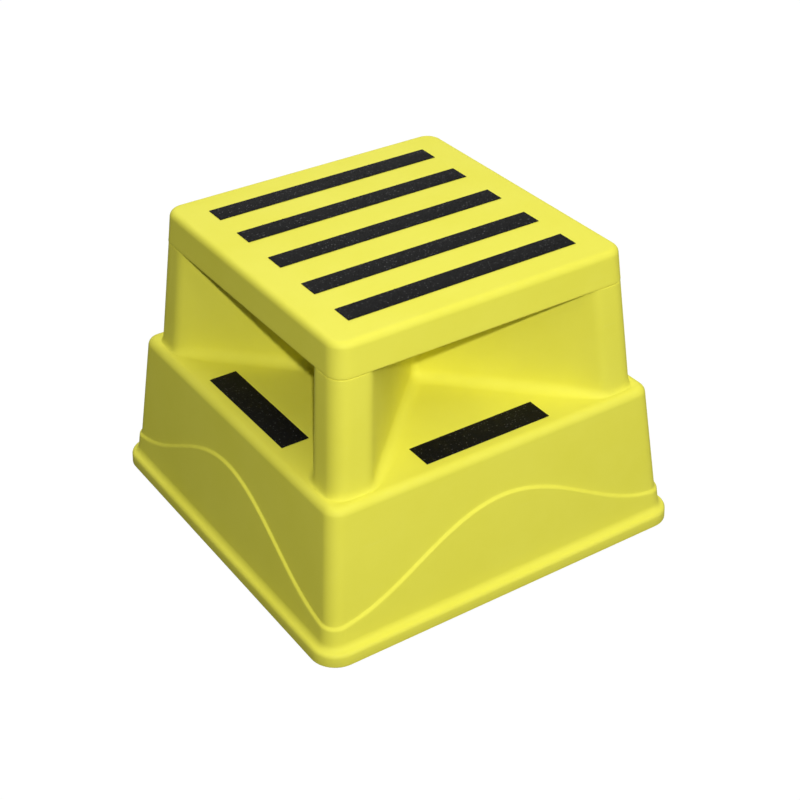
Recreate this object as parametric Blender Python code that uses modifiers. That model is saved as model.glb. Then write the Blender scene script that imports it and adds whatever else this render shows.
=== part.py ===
"""Two-level moulded safety step.

A square flared base moulding carries a tread on every side and four corner posts, which are the ends
of two crossing hollow webs. A lid-shaped platform moulding sits on the posts and is screwed down from
below. Grit strips lie on the platform and the treads, and rubber feet are pushed into corner webs.

Units are metres. +Z is up, -Y is the front, and the floor under the feet is z = 0.
"""
import math

import bmesh
import bpy
from mathutils import Vector

# --- Fits and walls -------------------------------------------------------------------------------
CLEARANCE = 0.0003            # gap between pieces that touch
SPIGOT_CLEARANCE = 0.0005     # play round the spigot inside the platform's skirt
OVERLAP = 0.001               # how far joined shapes run into each other
WALL = 0.004                  # wall of both mouldings

# --- Base: rim, wall and tread --------------------------------------------------------------------
RIM_HALF_WIDTH = 0.226        # overall width is twice this
RIM_HEIGHT = 0.017
RIM_TAPER = 0.001             # how much the rim narrows to its top, each side
RIM_CORNER_RADIUS = 0.029
RIM_EDGE_RADIUS = 0.008
RIM_STEP = 0.00945            # from the rim's outer face in to the wall's line at floor level
FOOT_STANDOFF = 0.0015        # rim's lower edge above the floor

BASE_HEIGHT = 0.1676          # rim's lower edge to the tread
BASE_DRAFT = math.radians(6.45)
BASE_CORNER_RADIUS = 0.0185
BASE_EDGE_RADIUS = 0.012

WAVE_PROUD = 0.002            # how far the wave panel stands out of the wall
WAVE_LOW = 0.0385             # wave's heights above the rim's lower edge, at the corners ...
WAVE_HIGH = 0.1165            # ... and at the middle of each side
WAVE_STEPS = 20

# --- Posts and webs -------------------------------------------------------------------------------
LEDGE = 0.0123                # tread's width outside the posts
POST_HEIGHT = 0.1235
POST_DRAFT = math.radians(5.0)
POST_CORNER_RADIUS = 0.0185
WEB_HALF_THICKNESS = 0.0293   # at the tread
WEB_DRAFT = math.radians(0.5)
SPIGOT_HEIGHT = 0.008
SPIGOT_WEB_STEP = 0.002       # how much thinner the web is at the spigot, each side

# --- Stiffening under the treads ------------------------------------------------------------------
TREAD_RIB_DEPTH = 0.018
TREAD_RIB_THICKNESS = 0.003
TREAD_RIB_PITCH = 0.070
TREAD_RIBS_EACH_SIDE = 3

# --- Platform -------------------------------------------------------------------------------------
PLATFORM_THICKNESS = 0.0378
PLATFORM_OVERHANG = 0.0008    # skirt's lower edge outside the posts
PLATFORM_DRAFT = math.radians(4.2)
PLATFORM_CORNER_RADIUS = 0.019
PLATFORM_EDGE_RADIUS = 0.0095
PLATFORM_PLATE = 0.005
PLATFORM_RIB_THICKNESS = 0.0025
PLATFORM_RIB_BAYS = 6

# --- Screws and washers ---------------------------------------------------------------------------
SCREW_SETBACK = 0.045         # post's outer face to the screw's axis
SCREW_RADIUS = 0.0016
SCREW_ENGAGEMENT = 0.016      # length inside the platform's boss
SCREW_POINT = 0.002
HEAD_RADIUS = 0.0037
HEAD_HEIGHT = 0.0026
WASHER_RADIUS = 0.0065
WASHER_THICKNESS = 0.0010
BOSS_WALL = 0.0045

# --- Rubber feet ----------------------------------------------------------------------------------
FOOT_RADIUS = 0.016
FOOT_HEIGHT = 0.0075          # pad under the corner web
FOOT_SETBACK = 0.036          # rim's outer face to the foot's axis
FOOT_STEM_RADIUS = 0.0047
FOOT_BARB_RADIUS = 0.0066
FOOT_BARB_HEIGHT = 0.006
FOOT_CHAMFER = 0.001
CORNER_WEB_MARGIN = 0.010     # corner web's edge beyond the foot's pad

# --- Grit strips ----------------------------------------------------------------------------------
GRIP_THICKNESS = 0.0009
PLATFORM_GRIP_COUNT = 5
PLATFORM_GRIP_WIDTH = 0.025
PLATFORM_GRIP_END_MARGIN = 0.0375     # strip's end to the platform's edge
PLATFORM_GRIP_SIDE_MARGIN = 0.0483    # outermost strip's middle to the platform's edge
TREAD_GRIP_WIDTH = 0.0316
TREAD_GRIP_SETBACK = 0.0328           # strip's middle to the wall's line at the tread
TREAD_GRIP_END_GAP = 0.0318           # strip's inner corner to the web

# --- Facets ---------------------------------------------------------------------------------------
CORNER_SEGMENTS = 5
EDGE_SEGMENTS = 3
ROUND_STEPS = 20

# --- Worked-out sizes -----------------------------------------------------------------------------
RIM_BOTTOM = FOOT_STANDOFF
RIM_TOP = RIM_BOTTOM + RIM_HEIGHT
TREAD_Z = RIM_BOTTOM + BASE_HEIGHT
POST_TOP = TREAD_Z + POST_HEIGHT - CLEARANCE
SPIGOT_TOP = POST_TOP + SPIGOT_HEIGHT
SKIRT_Z = TREAD_Z + POST_HEIGHT
PLATFORM_Z = SKIRT_Z + PLATFORM_THICKNESS
GRIP_LIFT = CLEARANCE + GRIP_THICKNESS / 2
WEB_TILT = math.radians(45)

COLOURS = {
    "yellow": ((0.84, 0.77, 0.045, 1.0), 0.42),
    "grit": ((0.012, 0.012, 0.014, 1.0), 0.9),
    "rubber": ((0.02, 0.02, 0.02, 1.0), 0.75),
    "steel": ((0.55, 0.56, 0.58, 1.0), 0.3),
}


def wall_half(height: float) -> float:
    """Half width of the base's wall at a height."""
    foot_half = RIM_HALF_WIDTH - RIM_STEP
    return foot_half - (height - RIM_BOTTOM) * math.tan(BASE_DRAFT)


def post_half(height: float) -> float:
    """Half width across the posts' outer faces at a height."""
    return wall_half(TREAD_Z) - LEDGE - (height - TREAD_Z) * math.tan(POST_DRAFT)


def web_half(height: float) -> float:
    """Half thickness of a diagonal web at a height."""
    return WEB_HALF_THICKNESS - (height - TREAD_Z) * math.tan(WEB_DRAFT)


def skirt_half(height: float) -> float:
    """Half width of the platform at a height."""
    return post_half(SKIRT_Z) + PLATFORM_OVERHANG - (height - SKIRT_Z) * math.tan(PLATFORM_DRAFT)


# --- Scene helpers --------------------------------------------------------------------------------
def clear_scene() -> None:
    """Remove every object that is in the scene."""
    for item in list(bpy.data.objects):
        bpy.data.objects.remove(item, do_unlink=True)


def new_collection(name: str) -> bpy.types.Collection:
    """Make a collection in the scene."""
    collection = bpy.data.collections.new(name)
    bpy.context.scene.collection.children.link(collection)
    return collection


def mesh_object(name: str, bm: bmesh.types.BMesh, collection) -> bpy.types.Object:
    """Turn a bmesh into a named object in a collection."""
    bmesh.ops.recalc_face_normals(bm, faces=bm.faces)
    mesh = bpy.data.meshes.new(name)
    bm.to_mesh(mesh)
    bm.free()
    item = bpy.data.objects.new(name, mesh)
    collection.objects.link(item)
    if collection is CUTTERS:
        item.hide_render = True
        item.display_type = "WIRE"
    return item


def boolean(item, operation: str, other) -> None:
    """Add one exact Boolean modifier."""
    modifier = item.modifiers.new(operation.lower() + "_" + other.name, "BOOLEAN")
    modifier.operation = operation
    modifier.solver = "EXACT"
    modifier.object = other


def paint(item, kind: str) -> None:
    """Give an object its own Principled material."""
    colour, roughness = COLOURS[kind]
    material = bpy.data.materials.new(item.name + "_" + kind)
    material.use_nodes = True
    shader = material.node_tree.nodes["Principled BSDF"]
    shader.inputs["Base Color"].default_value = colour
    shader.inputs["Roughness"].default_value = roughness
    shader.inputs["Metallic"].default_value = 1.0 if kind == "steel" else 0.0
    item.data.materials.append(material)


# --- Shapes ---------------------------------------------------------------------------------------
def tapered_block(name, low, high, corner_radius=0.0, edge_radius=0.0, collection=None):
    """A square block with draft. low and high are (half width, height); only its top edge is rounded."""
    bm = bmesh.new()
    bmesh.ops.create_cube(bm, size=2.0)
    for vert in bm.verts:
        half, height = high if vert.co.z > 0 else low
        vert.co = Vector((math.copysign(half, vert.co.x), math.copysign(half, vert.co.y), height))
    if corner_radius > 0:
        uprights = [e for e in bm.edges if e.verts[0].co.z != e.verts[1].co.z]
        bmesh.ops.bevel(bm, geom=uprights, offset=corner_radius, segments=CORNER_SEGMENTS,
                        profile=0.5, affect="EDGES")
    if edge_radius > 0:
        top_ring = [e for e in bm.edges if all(abs(v.co.z - high[1]) < 1e-7 for v in e.verts)]
        bmesh.ops.bevel(bm, geom=top_ring, offset=edge_radius, segments=EDGE_SEGMENTS,
                        profile=0.5, affect="EDGES")
    return mesh_object(name, bm, collection or CUTTERS)


def box(name, low, high, collection=None):
    """A plain box between two corners."""
    bm = bmesh.new()
    bmesh.ops.create_cube(bm, size=1.0)
    size = Vector(high) - Vector(low)
    centre = (Vector(high) + Vector(low)) / 2
    for vert in bm.verts:
        vert.co = centre + Vector(vert.co[i] * size[i] for i in range(3))
    return mesh_object(name, bm, collection or CUTTERS)


def cylinder(name, centre, radius, low_z, high_z):
    """An upright cylinder, for joining or cutting."""
    bm = bmesh.new()
    bmesh.ops.create_cone(bm, cap_ends=True, segments=ROUND_STEPS, radius1=radius, radius2=radius,
                          depth=high_z - low_z)
    item = mesh_object(name, bm, CUTTERS)
    item.location = (centre[0], centre[1], (low_z + high_z) / 2)
    return item


def turned(name, profile, centre, closed=False):
    """A turned piece: a profile of (radius, height) running down its outer side, spun about Z."""
    bm = bmesh.new()
    verts = [bm.verts.new((radius, 0.0, height)) for radius, height in profile]
    for first, second in zip(verts, verts[1:]):
        bm.edges.new((first, second))
    if closed:
        bm.edges.new((verts[-1], verts[0]))
    mesh = bpy.data.meshes.new(name)
    bm.to_mesh(mesh)
    bm.free()
    item = bpy.data.objects.new(name, mesh)
    STEP_STOOL.objects.link(item)
    item.location = (centre[0], centre[1], 0.0)
    spin = item.modifiers.new("spin", "SCREW")
    spin.steps = ROUND_STEPS
    spin.render_steps = ROUND_STEPS
    spin.use_merge_vertices = True
    spin.merge_threshold = 0.00005
    spin.use_smooth_shade = False
    return item


def web_arm(name, low_z, high_z, inset, length, angle):
    """One diagonal web as a tapered box through the middle."""
    bm = bmesh.new()
    bmesh.ops.create_cube(bm, size=2.0)
    for vert in bm.verts:
        height = high_z if vert.co.z > 0 else low_z
        vert.co = Vector((math.copysign(length, vert.co.x),
                          math.copysign(web_half(height) - inset, vert.co.y), height))
    item = mesh_object(name, bm, CUTTERS)
    item.rotation_euler.z = angle
    return item


def cross(name, low, high, web_inset, corner_radius):
    """Two crossing webs trimmed to a rounded square: low and high are (half width, height)."""
    reach = 2 * max(low[0], high[0])
    first = web_arm(name, low[1] - OVERLAP, high[1] + OVERLAP, web_inset, reach, WEB_TILT)
    second = web_arm(name + "_arm", low[1] - OVERLAP, high[1] + OVERLAP, web_inset, reach, -WEB_TILT)
    trim = tapered_block(name + "_trim", low, high, corner_radius)
    boolean(first, "UNION", second)
    boolean(first, "INTERSECT", trim)
    return first


def four_corners(half):
    """The four corner points of a square, anticlockwise from the front left."""
    return [(-half, -half), (half, -half), (half, half), (-half, half)]


# --- Base moulding --------------------------------------------------------------------------------
def wave_height(along: float) -> float:
    """Height of the wave's line at a distance from the middle of a side."""
    span = wall_half(RIM_BOTTOM + WAVE_LOW)
    swell = (1 + math.cos(math.pi * min(abs(along) / span, 1.0))) / 2
    return RIM_BOTTOM + WAVE_LOW + (WAVE_HIGH - WAVE_LOW) * swell


def wave_prism(name, foot, reach, turn):
    """Everything under the wave's line, swept straight across two opposite sides."""
    bm = bmesh.new()
    outline = [(-reach, foot), (reach, foot)]
    for step in range(WAVE_STEPS + 1):
        along = reach * (1 - 2 * step / WAVE_STEPS)
        outline.append((along, wave_height(along)))
    face = bm.faces.new([bm.verts.new((along, -reach, height)) for along, height in outline])
    swept = bmesh.ops.extrude_face_region(bm, geom=[face])
    moved = [part for part in swept["geom"] if isinstance(part, bmesh.types.BMVert)]
    bmesh.ops.translate(bm, verts=moved, vec=(0.0, 2 * reach, 0.0))
    prism = mesh_object(name, bm, CUTTERS)
    prism.rotation_euler.z = turn
    return prism


def wave_panel():
    """The raised panel under the wave, all round the base."""
    foot = RIM_BOTTOM + RIM_HEIGHT / 2
    crest = RIM_BOTTOM + WAVE_HIGH + WAVE_PROUD
    panel = tapered_block("wave_panel", (wall_half(foot) + WAVE_PROUD, foot),
                          (wall_half(crest) + WAVE_PROUD, crest), BASE_CORNER_RADIUS + WAVE_PROUD)
    reach = wall_half(RIM_BOTTOM) + WAVE_PROUD + OVERLAP
    outline = wave_prism("wave_front_back", foot - OVERLAP, reach, 0.0)
    boolean(outline, "UNION", wave_prism("wave_left_right", foot - 2 * OVERLAP, reach + OVERLAP, math.pi / 2))
    boolean(panel, "INTERSECT", outline)
    return panel


def base_inside():
    """The space under the base's wall and tread."""
    top = TREAD_Z - WALL
    return tapered_block("base_inside", (wall_half(RIM_BOTTOM - OVERLAP) - WALL, RIM_BOTTOM - OVERLAP),
                         (wall_half(top) - WALL, top), BASE_CORNER_RADIUS - WALL,
                         BASE_EDGE_RADIUS - WALL)


def rim_inside():
    """The space inside the rim."""
    return tapered_block("rim_inside", (RIM_HALF_WIDTH - WALL, RIM_BOTTOM - OVERLAP),
                         (RIM_HALF_WIDTH - RIM_TAPER - WALL, RIM_TOP - WALL),
                         RIM_CORNER_RADIUS - WALL, RIM_EDGE_RADIUS - WALL)


def corner_webs():
    """Four flat triangular webs across the rim's corners, which hold the feet."""
    low = FOOT_HEIGHT + CLEARANCE
    half = RIM_HALF_WIDTH - WALL / 2
    plate = tapered_block("corner_webs", (half, low), (half - RIM_TAPER / 2, low + WALL),
                          RIM_CORNER_RADIUS - WALL / 2)
    reach = foot_centre() * math.sqrt(2) - FOOT_RADIUS - CORNER_WEB_MARGIN
    middle = tapered_block("corner_webs_middle", (reach, low - OVERLAP), (reach, low + WALL + OVERLAP))
    middle.rotation_euler.z = WEB_TILT
    boolean(plate, "DIFFERENCE", middle)
    return plate


def foot_centre() -> float:
    """Distance of each foot's axis from the middle, along X and along Y."""
    return RIM_HALF_WIDTH - FOOT_SETBACK


def tread_ribs():
    """Stiffening ribs under the four treads, trimmed inside the base's wall."""
    low = TREAD_Z - WALL - TREAD_RIB_DEPTH
    envelope = tapered_block("tread_rib_limit", (wall_half(low - OVERLAP) - WALL / 2, low - OVERLAP),
                             (wall_half(TREAD_Z) - WALL / 2, TREAD_Z - WALL / 2),
                             BASE_CORNER_RADIUS - WALL / 2, BASE_EDGE_RADIUS - WALL / 2)
    ribs = []
    for side in range(4):
        for number in range(TREAD_RIBS_EACH_SIDE):
            along = (number - (TREAD_RIBS_EACH_SIDE - 1) / 2) * TREAD_RIB_PITCH
            inner = abs(along) + web_half(low) * math.sqrt(2) - WALL
            rib = box("tread_rib_%d_%d" % (side + 1, number + 1),
                      (along - TREAD_RIB_THICKNESS / 2, -wall_half(low), low),
                      (along + TREAD_RIB_THICKNESS / 2, -inner, TREAD_Z - WALL + OVERLAP))
            rib.rotation_euler.z = side * math.pi / 2
            boolean(rib, "INTERSECT", envelope)
            ribs.append(rib)
    return ribs


def spigot_half() -> float:
    """Half width of the spigot that stands up inside the platform's skirt."""
    return skirt_half(SPIGOT_TOP) - WALL - SPIGOT_CLEARANCE


def build_base():
    """The base moulding, hollow and open underneath."""
    base = tapered_block("base_body", (wall_half(RIM_BOTTOM), RIM_BOTTOM), (wall_half(TREAD_Z), TREAD_Z),
                         BASE_CORNER_RADIUS, BASE_EDGE_RADIUS, STEP_STOOL)
    rim = tapered_block("rim", (RIM_HALF_WIDTH, RIM_BOTTOM), (RIM_HALF_WIDTH - RIM_TAPER, RIM_TOP),
                        RIM_CORNER_RADIUS, RIM_EDGE_RADIUS)
    boolean(base, "UNION", rim)
    boolean(base, "UNION", wave_panel())
    boolean(base, "DIFFERENCE", base_inside())
    boolean(base, "DIFFERENCE", rim_inside())

    web_foot = TREAD_Z - WALL - TREAD_RIB_DEPTH
    boolean(base, "UNION", cross("posts", (post_half(web_foot) - OVERLAP, web_foot),
                                 (post_half(POST_TOP), POST_TOP), 0.0, POST_CORNER_RADIUS))
    spigot_corner = PLATFORM_CORNER_RADIUS - WALL
    boolean(base, "UNION", cross("spigot", (spigot_half(), POST_TOP - OVERLAP),
                                 (spigot_half(), SPIGOT_TOP), SPIGOT_WEB_STEP, spigot_corner))
    boolean(base, "UNION", corner_webs())
    for rib in tread_ribs():
        boolean(base, "UNION", rib)

    inside_top = POST_TOP - WALL
    boolean(base, "DIFFERENCE", cross("posts_inside", (post_half(web_foot) - WALL, web_foot - OVERLAP),
                                      (post_half(inside_top) - WALL, inside_top), WALL,
                                      POST_CORNER_RADIUS - WALL))
    boolean(base, "DIFFERENCE", cross("spigot_inside", (spigot_half() - WALL, inside_top - OVERLAP),
                                      (spigot_half() - WALL, SPIGOT_TOP - WALL),
                                      WALL + SPIGOT_WEB_STEP, spigot_corner - WALL))
    for number, centre in enumerate(four_corners(screw_centre()), 1):
        hole = cylinder("screw_hole_%d" % number, centre, SCREW_RADIUS + CLEARANCE,
                        SPIGOT_TOP - 2 * WALL, SPIGOT_TOP + OVERLAP)
        boolean(base, "DIFFERENCE", hole)
    for number, centre in enumerate(four_corners(foot_centre()), 1):
        hole = cylinder("foot_hole_%d" % number, centre, FOOT_STEM_RADIUS + CLEARANCE,
                        FOOT_HEIGHT - OVERLAP, FOOT_HEIGHT + WALL + 2 * OVERLAP)
        boolean(base, "DIFFERENCE", hole)
    paint(base, "yellow")


# --- Platform moulding ----------------------------------------------------------------------------
def screw_centre() -> float:
    """Distance of each screw's axis from the middle, along X and along Y."""
    return post_half(POST_TOP) - SCREW_SETBACK


def build_platform():
    """The platform moulding: a plate with a skirt, crossed ribs and four screw bosses underneath."""
    platform = tapered_block("platform", (skirt_half(SKIRT_Z), SKIRT_Z), (skirt_half(PLATFORM_Z), PLATFORM_Z),
                             PLATFORM_CORNER_RADIUS, PLATFORM_EDGE_RADIUS, STEP_STOOL)
    ceiling = PLATFORM_Z - PLATFORM_PLATE
    inside = tapered_block("platform_inside", (skirt_half(SKIRT_Z - OVERLAP) - WALL, SKIRT_Z - OVERLAP),
                           (skirt_half(ceiling) - WALL, ceiling), PLATFORM_CORNER_RADIUS - WALL,
                           PLATFORM_EDGE_RADIUS - WALL)
    boolean(platform, "DIFFERENCE", inside)

    rib_low = SPIGOT_TOP + CLEARANCE
    envelope = tapered_block("platform_rib_limit", (skirt_half(rib_low) - WALL / 2, rib_low - OVERLAP),
                             (skirt_half(ceiling) - WALL / 2, ceiling + OVERLAP),
                             PLATFORM_CORNER_RADIUS - WALL / 2, PLATFORM_EDGE_RADIUS - WALL / 2)
    pitch = 2 * screw_centre() / PLATFORM_RIB_BAYS
    reach = skirt_half(SKIRT_Z)
    for turn in range(2):
        for number in range(PLATFORM_RIB_BAYS + 1):
            along = -screw_centre() + number * pitch
            rib = box("platform_rib_%d_%d" % (turn + 1, number + 1),
                      (along - PLATFORM_RIB_THICKNESS / 2, -reach, rib_low),
                      (along + PLATFORM_RIB_THICKNESS / 2, reach, ceiling + OVERLAP / 2))
            rib.rotation_euler.z = turn * math.pi / 2
            boolean(rib, "INTERSECT", envelope)
            boolean(platform, "UNION", rib)
    for number, centre in enumerate(four_corners(screw_centre()), 1):
        bore = SCREW_RADIUS + CLEARANCE
        boss = cylinder("screw_boss_%d" % number, centre, bore + BOSS_WALL, rib_low, ceiling + OVERLAP)
        pilot = cylinder("pilot_hole_%d" % number, centre, bore, rib_low - OVERLAP,
                         rib_low + SCREW_ENGAGEMENT + 2 * OVERLAP)
        boolean(platform, "UNION", boss)
        boolean(platform, "DIFFERENCE", pilot)
    paint(platform, "yellow")


# --- Fasteners, feet and strips -------------------------------------------------------------------
def build_screws():
    """A washer and a screw under the top of each post, driven up into the platform's boss."""
    washer_top = SPIGOT_TOP - WALL - CLEARANCE
    washer_low = washer_top - WASHER_THICKNESS
    head_top = washer_low - CLEARANCE
    head_low = head_top - HEAD_HEIGHT
    tip = SPIGOT_TOP + CLEARANCE + SCREW_ENGAGEMENT
    hole = SCREW_RADIUS + CLEARANCE
    for number, centre in enumerate(four_corners(screw_centre()), 1):
        washer = turned("platform_washer_%d" % number,
                        [(WASHER_RADIUS, washer_top), (WASHER_RADIUS, washer_low),
                         (hole, washer_low), (hole, washer_top)], centre, closed=True)
        screw = turned("platform_screw_%d" % number,
                       [(0.0, tip), (SCREW_RADIUS, tip - SCREW_POINT), (SCREW_RADIUS, head_top),
                        (HEAD_RADIUS, head_top), (HEAD_RADIUS, head_low + HEAD_HEIGHT / 2),
                        (HEAD_RADIUS - HEAD_HEIGHT / 2, head_low), (0.0, head_low)], centre)
        paint(washer, "steel")
        paint(screw, "steel")


def build_feet():
    """Rubber feet: a pad under each corner web, a stem through it and a barb above it."""
    web_low = FOOT_HEIGHT + CLEARANCE
    barb_low = web_low + WALL + CLEARANCE
    barb_top = barb_low + FOOT_BARB_HEIGHT
    for number, centre in enumerate(four_corners(foot_centre()), 1):
        foot = turned("foot_%d" % number,
                      [(0.0, barb_top), (FOOT_STEM_RADIUS / 2, barb_top), (FOOT_BARB_RADIUS, barb_low),
                       (FOOT_STEM_RADIUS, barb_low), (FOOT_STEM_RADIUS, FOOT_HEIGHT),
                       (FOOT_RADIUS, FOOT_HEIGHT), (FOOT_RADIUS, FOOT_CHAMFER),
                       (FOOT_RADIUS - FOOT_CHAMFER, 0.0), (0.0, 0.0)], centre)
        paint(foot, "rubber")


def strip(name, centre, length, width, turn):
    """One flat grit strip lying on a tread, its length along X before it is turned."""
    bpy.ops.mesh.primitive_cube_add(size=1.0)
    item = bpy.context.object
    item.name = name
    item.data.name = name
    for vert in item.data.vertices:
        vert.co = Vector((vert.co.x * length, vert.co.y * width, vert.co.z * GRIP_THICKNESS))
    item.location = centre
    item.rotation_euler.z = turn
    for collection in list(item.users_collection):
        collection.objects.unlink(item)
    STEP_STOOL.objects.link(item)
    paint(item, "grit")


def build_platform_grips():
    """Parallel strips across the platform, from front to back."""
    half = skirt_half(PLATFORM_Z)
    length = 2 * (half - PLATFORM_GRIP_END_MARGIN)
    first = -half + PLATFORM_GRIP_SIDE_MARGIN
    pitch = -2 * first / (PLATFORM_GRIP_COUNT - 1)
    for number in range(PLATFORM_GRIP_COUNT):
        strip("platform_grip_%d" % (number + 1), (0.0, first + number * pitch, PLATFORM_Z + GRIP_LIFT),
              length, PLATFORM_GRIP_WIDTH, 0.0)


def build_tread_grips():
    """One strip on the tread of each side."""
    reach = wall_half(TREAD_Z) - TREAD_GRIP_SETBACK
    niche_half = reach - TREAD_GRIP_WIDTH / 2 - web_half(TREAD_Z) * math.sqrt(2)
    length = 2 * (niche_half - TREAD_GRIP_END_GAP)
    for turn, side in enumerate(("front", "right", "back", "left")):
        angle = turn * math.pi / 2
        centre = (reach * math.sin(angle), -reach * math.cos(angle), TREAD_Z + GRIP_LIFT)
        strip("tread_grip_" + side, centre, length, TREAD_GRIP_WIDTH, angle)


clear_scene()
STEP_STOOL = new_collection("step_stool")
CUTTERS = new_collection("cutters")
build_base()
build_platform()
build_screws()
build_feet()
build_platform_grips()
build_tread_grips()
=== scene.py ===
"""Looks of a moulded two-level safety step: yellow plastic, black grit strips, screws and rubber feet."""

import logging
import math
from dataclasses import dataclass, field
from enum import Enum
from typing import Callable, Dict, List, Mapping, Optional, Sequence, Tuple

import bmesh
import bpy
from mathutils import Matrix, Vector, geometry


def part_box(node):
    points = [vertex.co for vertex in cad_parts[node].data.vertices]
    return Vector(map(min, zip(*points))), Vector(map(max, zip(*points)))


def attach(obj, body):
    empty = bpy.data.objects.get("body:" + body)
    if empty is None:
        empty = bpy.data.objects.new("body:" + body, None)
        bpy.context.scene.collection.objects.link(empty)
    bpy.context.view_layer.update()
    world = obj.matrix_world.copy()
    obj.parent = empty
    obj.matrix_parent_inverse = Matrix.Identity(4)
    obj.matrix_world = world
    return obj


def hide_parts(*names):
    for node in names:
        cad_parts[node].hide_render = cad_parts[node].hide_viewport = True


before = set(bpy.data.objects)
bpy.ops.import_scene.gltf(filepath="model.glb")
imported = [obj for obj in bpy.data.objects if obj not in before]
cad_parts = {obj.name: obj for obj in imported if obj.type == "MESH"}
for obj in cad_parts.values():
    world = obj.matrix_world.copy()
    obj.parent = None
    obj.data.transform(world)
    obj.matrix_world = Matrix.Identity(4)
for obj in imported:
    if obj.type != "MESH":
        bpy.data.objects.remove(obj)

LOG = logging.getLogger("step_stool")
MM = 0.001
CLEARANCE = 0.3 * MM
QUARTER = math.radians(90)
EIGHTH = math.radians(45)
SCREW_HOLE = 1.9 * MM
ON_AXIS = 1e-7
NO_AREA = 1e-14
CORNERS = ((1, 1), (-1, 1), (-1, -1), (1, -1))

Ring = List[Vector]
Colour = Tuple[float, float, float]


class Side(Enum):
    """The four sides of the step, as quarter turns from the front."""

    FRONT = 0
    RIGHT = 1
    BACK = 2
    LEFT = 3


class Slot(Enum):
    """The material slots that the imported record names."""

    BASE = "base_plastic"
    PLATFORM = "platform_plastic"
    GRIT = "grit_strip"
    STEEL = "screw_steel"
    RUBBER = "foot_rubber"


# --- Node trees -----------------------------------------------------------------------------------
class Sheet:
    """A node tree being filled."""

    def __init__(self, tree: bpy.types.NodeTree) -> None:
        """Keeps the tree."""
        self.tree = tree

    def add(self, kind: str, wires: Optional[Mapping] = None, **settings) -> bpy.types.Node:
        """Adds one node.

        Args:
            kind: Blender's name for the node type.
            wires: for each input, by name or number, a socket to join or a value to set.
            settings: the node's own properties.

        Returns:
            The new node.
        """
        node = self.tree.nodes.new(kind)
        node.location = (190 * (len(self.tree.nodes) % 12), -260 * (len(self.tree.nodes) // 12))
        for name, value in settings.items():
            setattr(node, name, value)
        for key, value in (wires or {}).items():
            self.wire(value, node.inputs[key])
        return node

    def wire(self, value: object, socket: bpy.types.NodeSocket) -> None:
        """Joins another node's socket to an input, or sets the input to a plain value.

        Args:
            value: the other socket or the value.
            socket: the input.
        """
        if isinstance(value, bpy.types.NodeSocket):
            self.tree.links.new(value, socket)
        else:
            socket.default_value = value

    def math(self, operation: str, a: object, b: object = 0.0, c: object = 0.0) -> bpy.types.NodeSocket:
        """One sum on numbers.

        Args:
            operation: Blender's name for the sum.
            a, b, c: sockets or numbers.

        Returns:
            The socket that holds the answer.
        """
        kind = "ShaderNodeMath"
        return self.add(kind, {0: a, 1: b, 2: c}, operation=operation).outputs[0]

    def noise(self, vector: bpy.types.NodeSocket, scale: object, detail: float = 2.0,
              roughness: float = 0.5) -> bpy.types.NodeSocket:
        """A noise pattern's value.

        Args:
            vector: where the pattern is read.
            scale: patches to a metre, a socket or a number.
            detail: how many finer layers it holds.
            roughness: how strong those layers are.

        Returns:
            The socket that holds the value.
        """
        wires = {"Vector": vector, "Scale": scale, "Detail": detail, "Roughness": roughness}
        return self.add("ShaderNodeTexNoise", wires).outputs["Fac"]

    def ramp(self, value: bpy.types.NodeSocket, low: object, high: object, bottom: object = 0.0,
             top: object = 1.0) -> bpy.types.NodeSocket:
        """Maps a range of values smoothly onto another.

        Args:
            value: the value to map.
            low, high: the range it is read over.
            bottom, top: what the ends of that range give.

        Returns:
            The socket that holds the mapped value.
        """
        wires = {0: value, 1: low, 2: high, 3: bottom, 4: top}
        return self.add("ShaderNodeMapRange", wires, interpolation_type="SMOOTHSTEP").outputs[0]

    def blend(self, factor: object, a: object, b: object) -> bpy.types.NodeSocket:
        """Mixes two colours.

        Args:
            factor: how much of the second, a socket or a number.
            a, b: the colours, sockets or red, green and blue.

        Returns:
            The socket that holds the mixed colour.
        """
        a, b = (c if isinstance(c, bpy.types.NodeSocket) else (*c, 1.0) for c in (a, b))
        return self.add("ShaderNodeMix", {0: factor, 6: a, 7: b}, data_type="RGBA").outputs[2]


def new_group(name: str, kind: str, takes: Mapping[str, Tuple[str, object]],
              gives: Mapping[str, str]) -> Tuple[Sheet, bpy.types.Node, bpy.types.Node]:
    """Starts a node group with named inputs and outputs.

    Args:
        name: the group's name.
        kind: Blender's name for the tree type.
        takes: for each input, the kind of its socket and its value if nothing is joined to it.
        gives: for each output, the kind of its socket.

    Returns:
        The group's sheet, its input node and its output node.
    """
    tree = bpy.data.node_groups.new(name, kind)
    for label, (socket, value) in takes.items():
        made = tree.interface.new_socket(name=label, in_out="INPUT", socket_type="NodeSocket" + socket)
        if value is not None:
            made.default_value = value
    for label, socket in gives.items():
        tree.interface.new_socket(name=label, in_out="OUTPUT", socket_type="NodeSocket" + socket)
    sheet = Sheet(tree)
    return sheet, sheet.add("NodeGroupInput"), sheet.add("NodeGroupOutput")


def keep_result(item: bpy.types.Object) -> None:
    """Keeps what an object's modifiers make of it as its plain mesh, and removes them.

    Args:
        item: the object.
    """
    graph = bpy.context.evaluated_depsgraph_get()
    item.data = bpy.data.meshes.new_from_object(item.evaluated_get(graph), preserve_all_data_layers=True,
                                                depsgraph=graph)
    item.modifiers.clear()
    item.data.name = item.name


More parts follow.
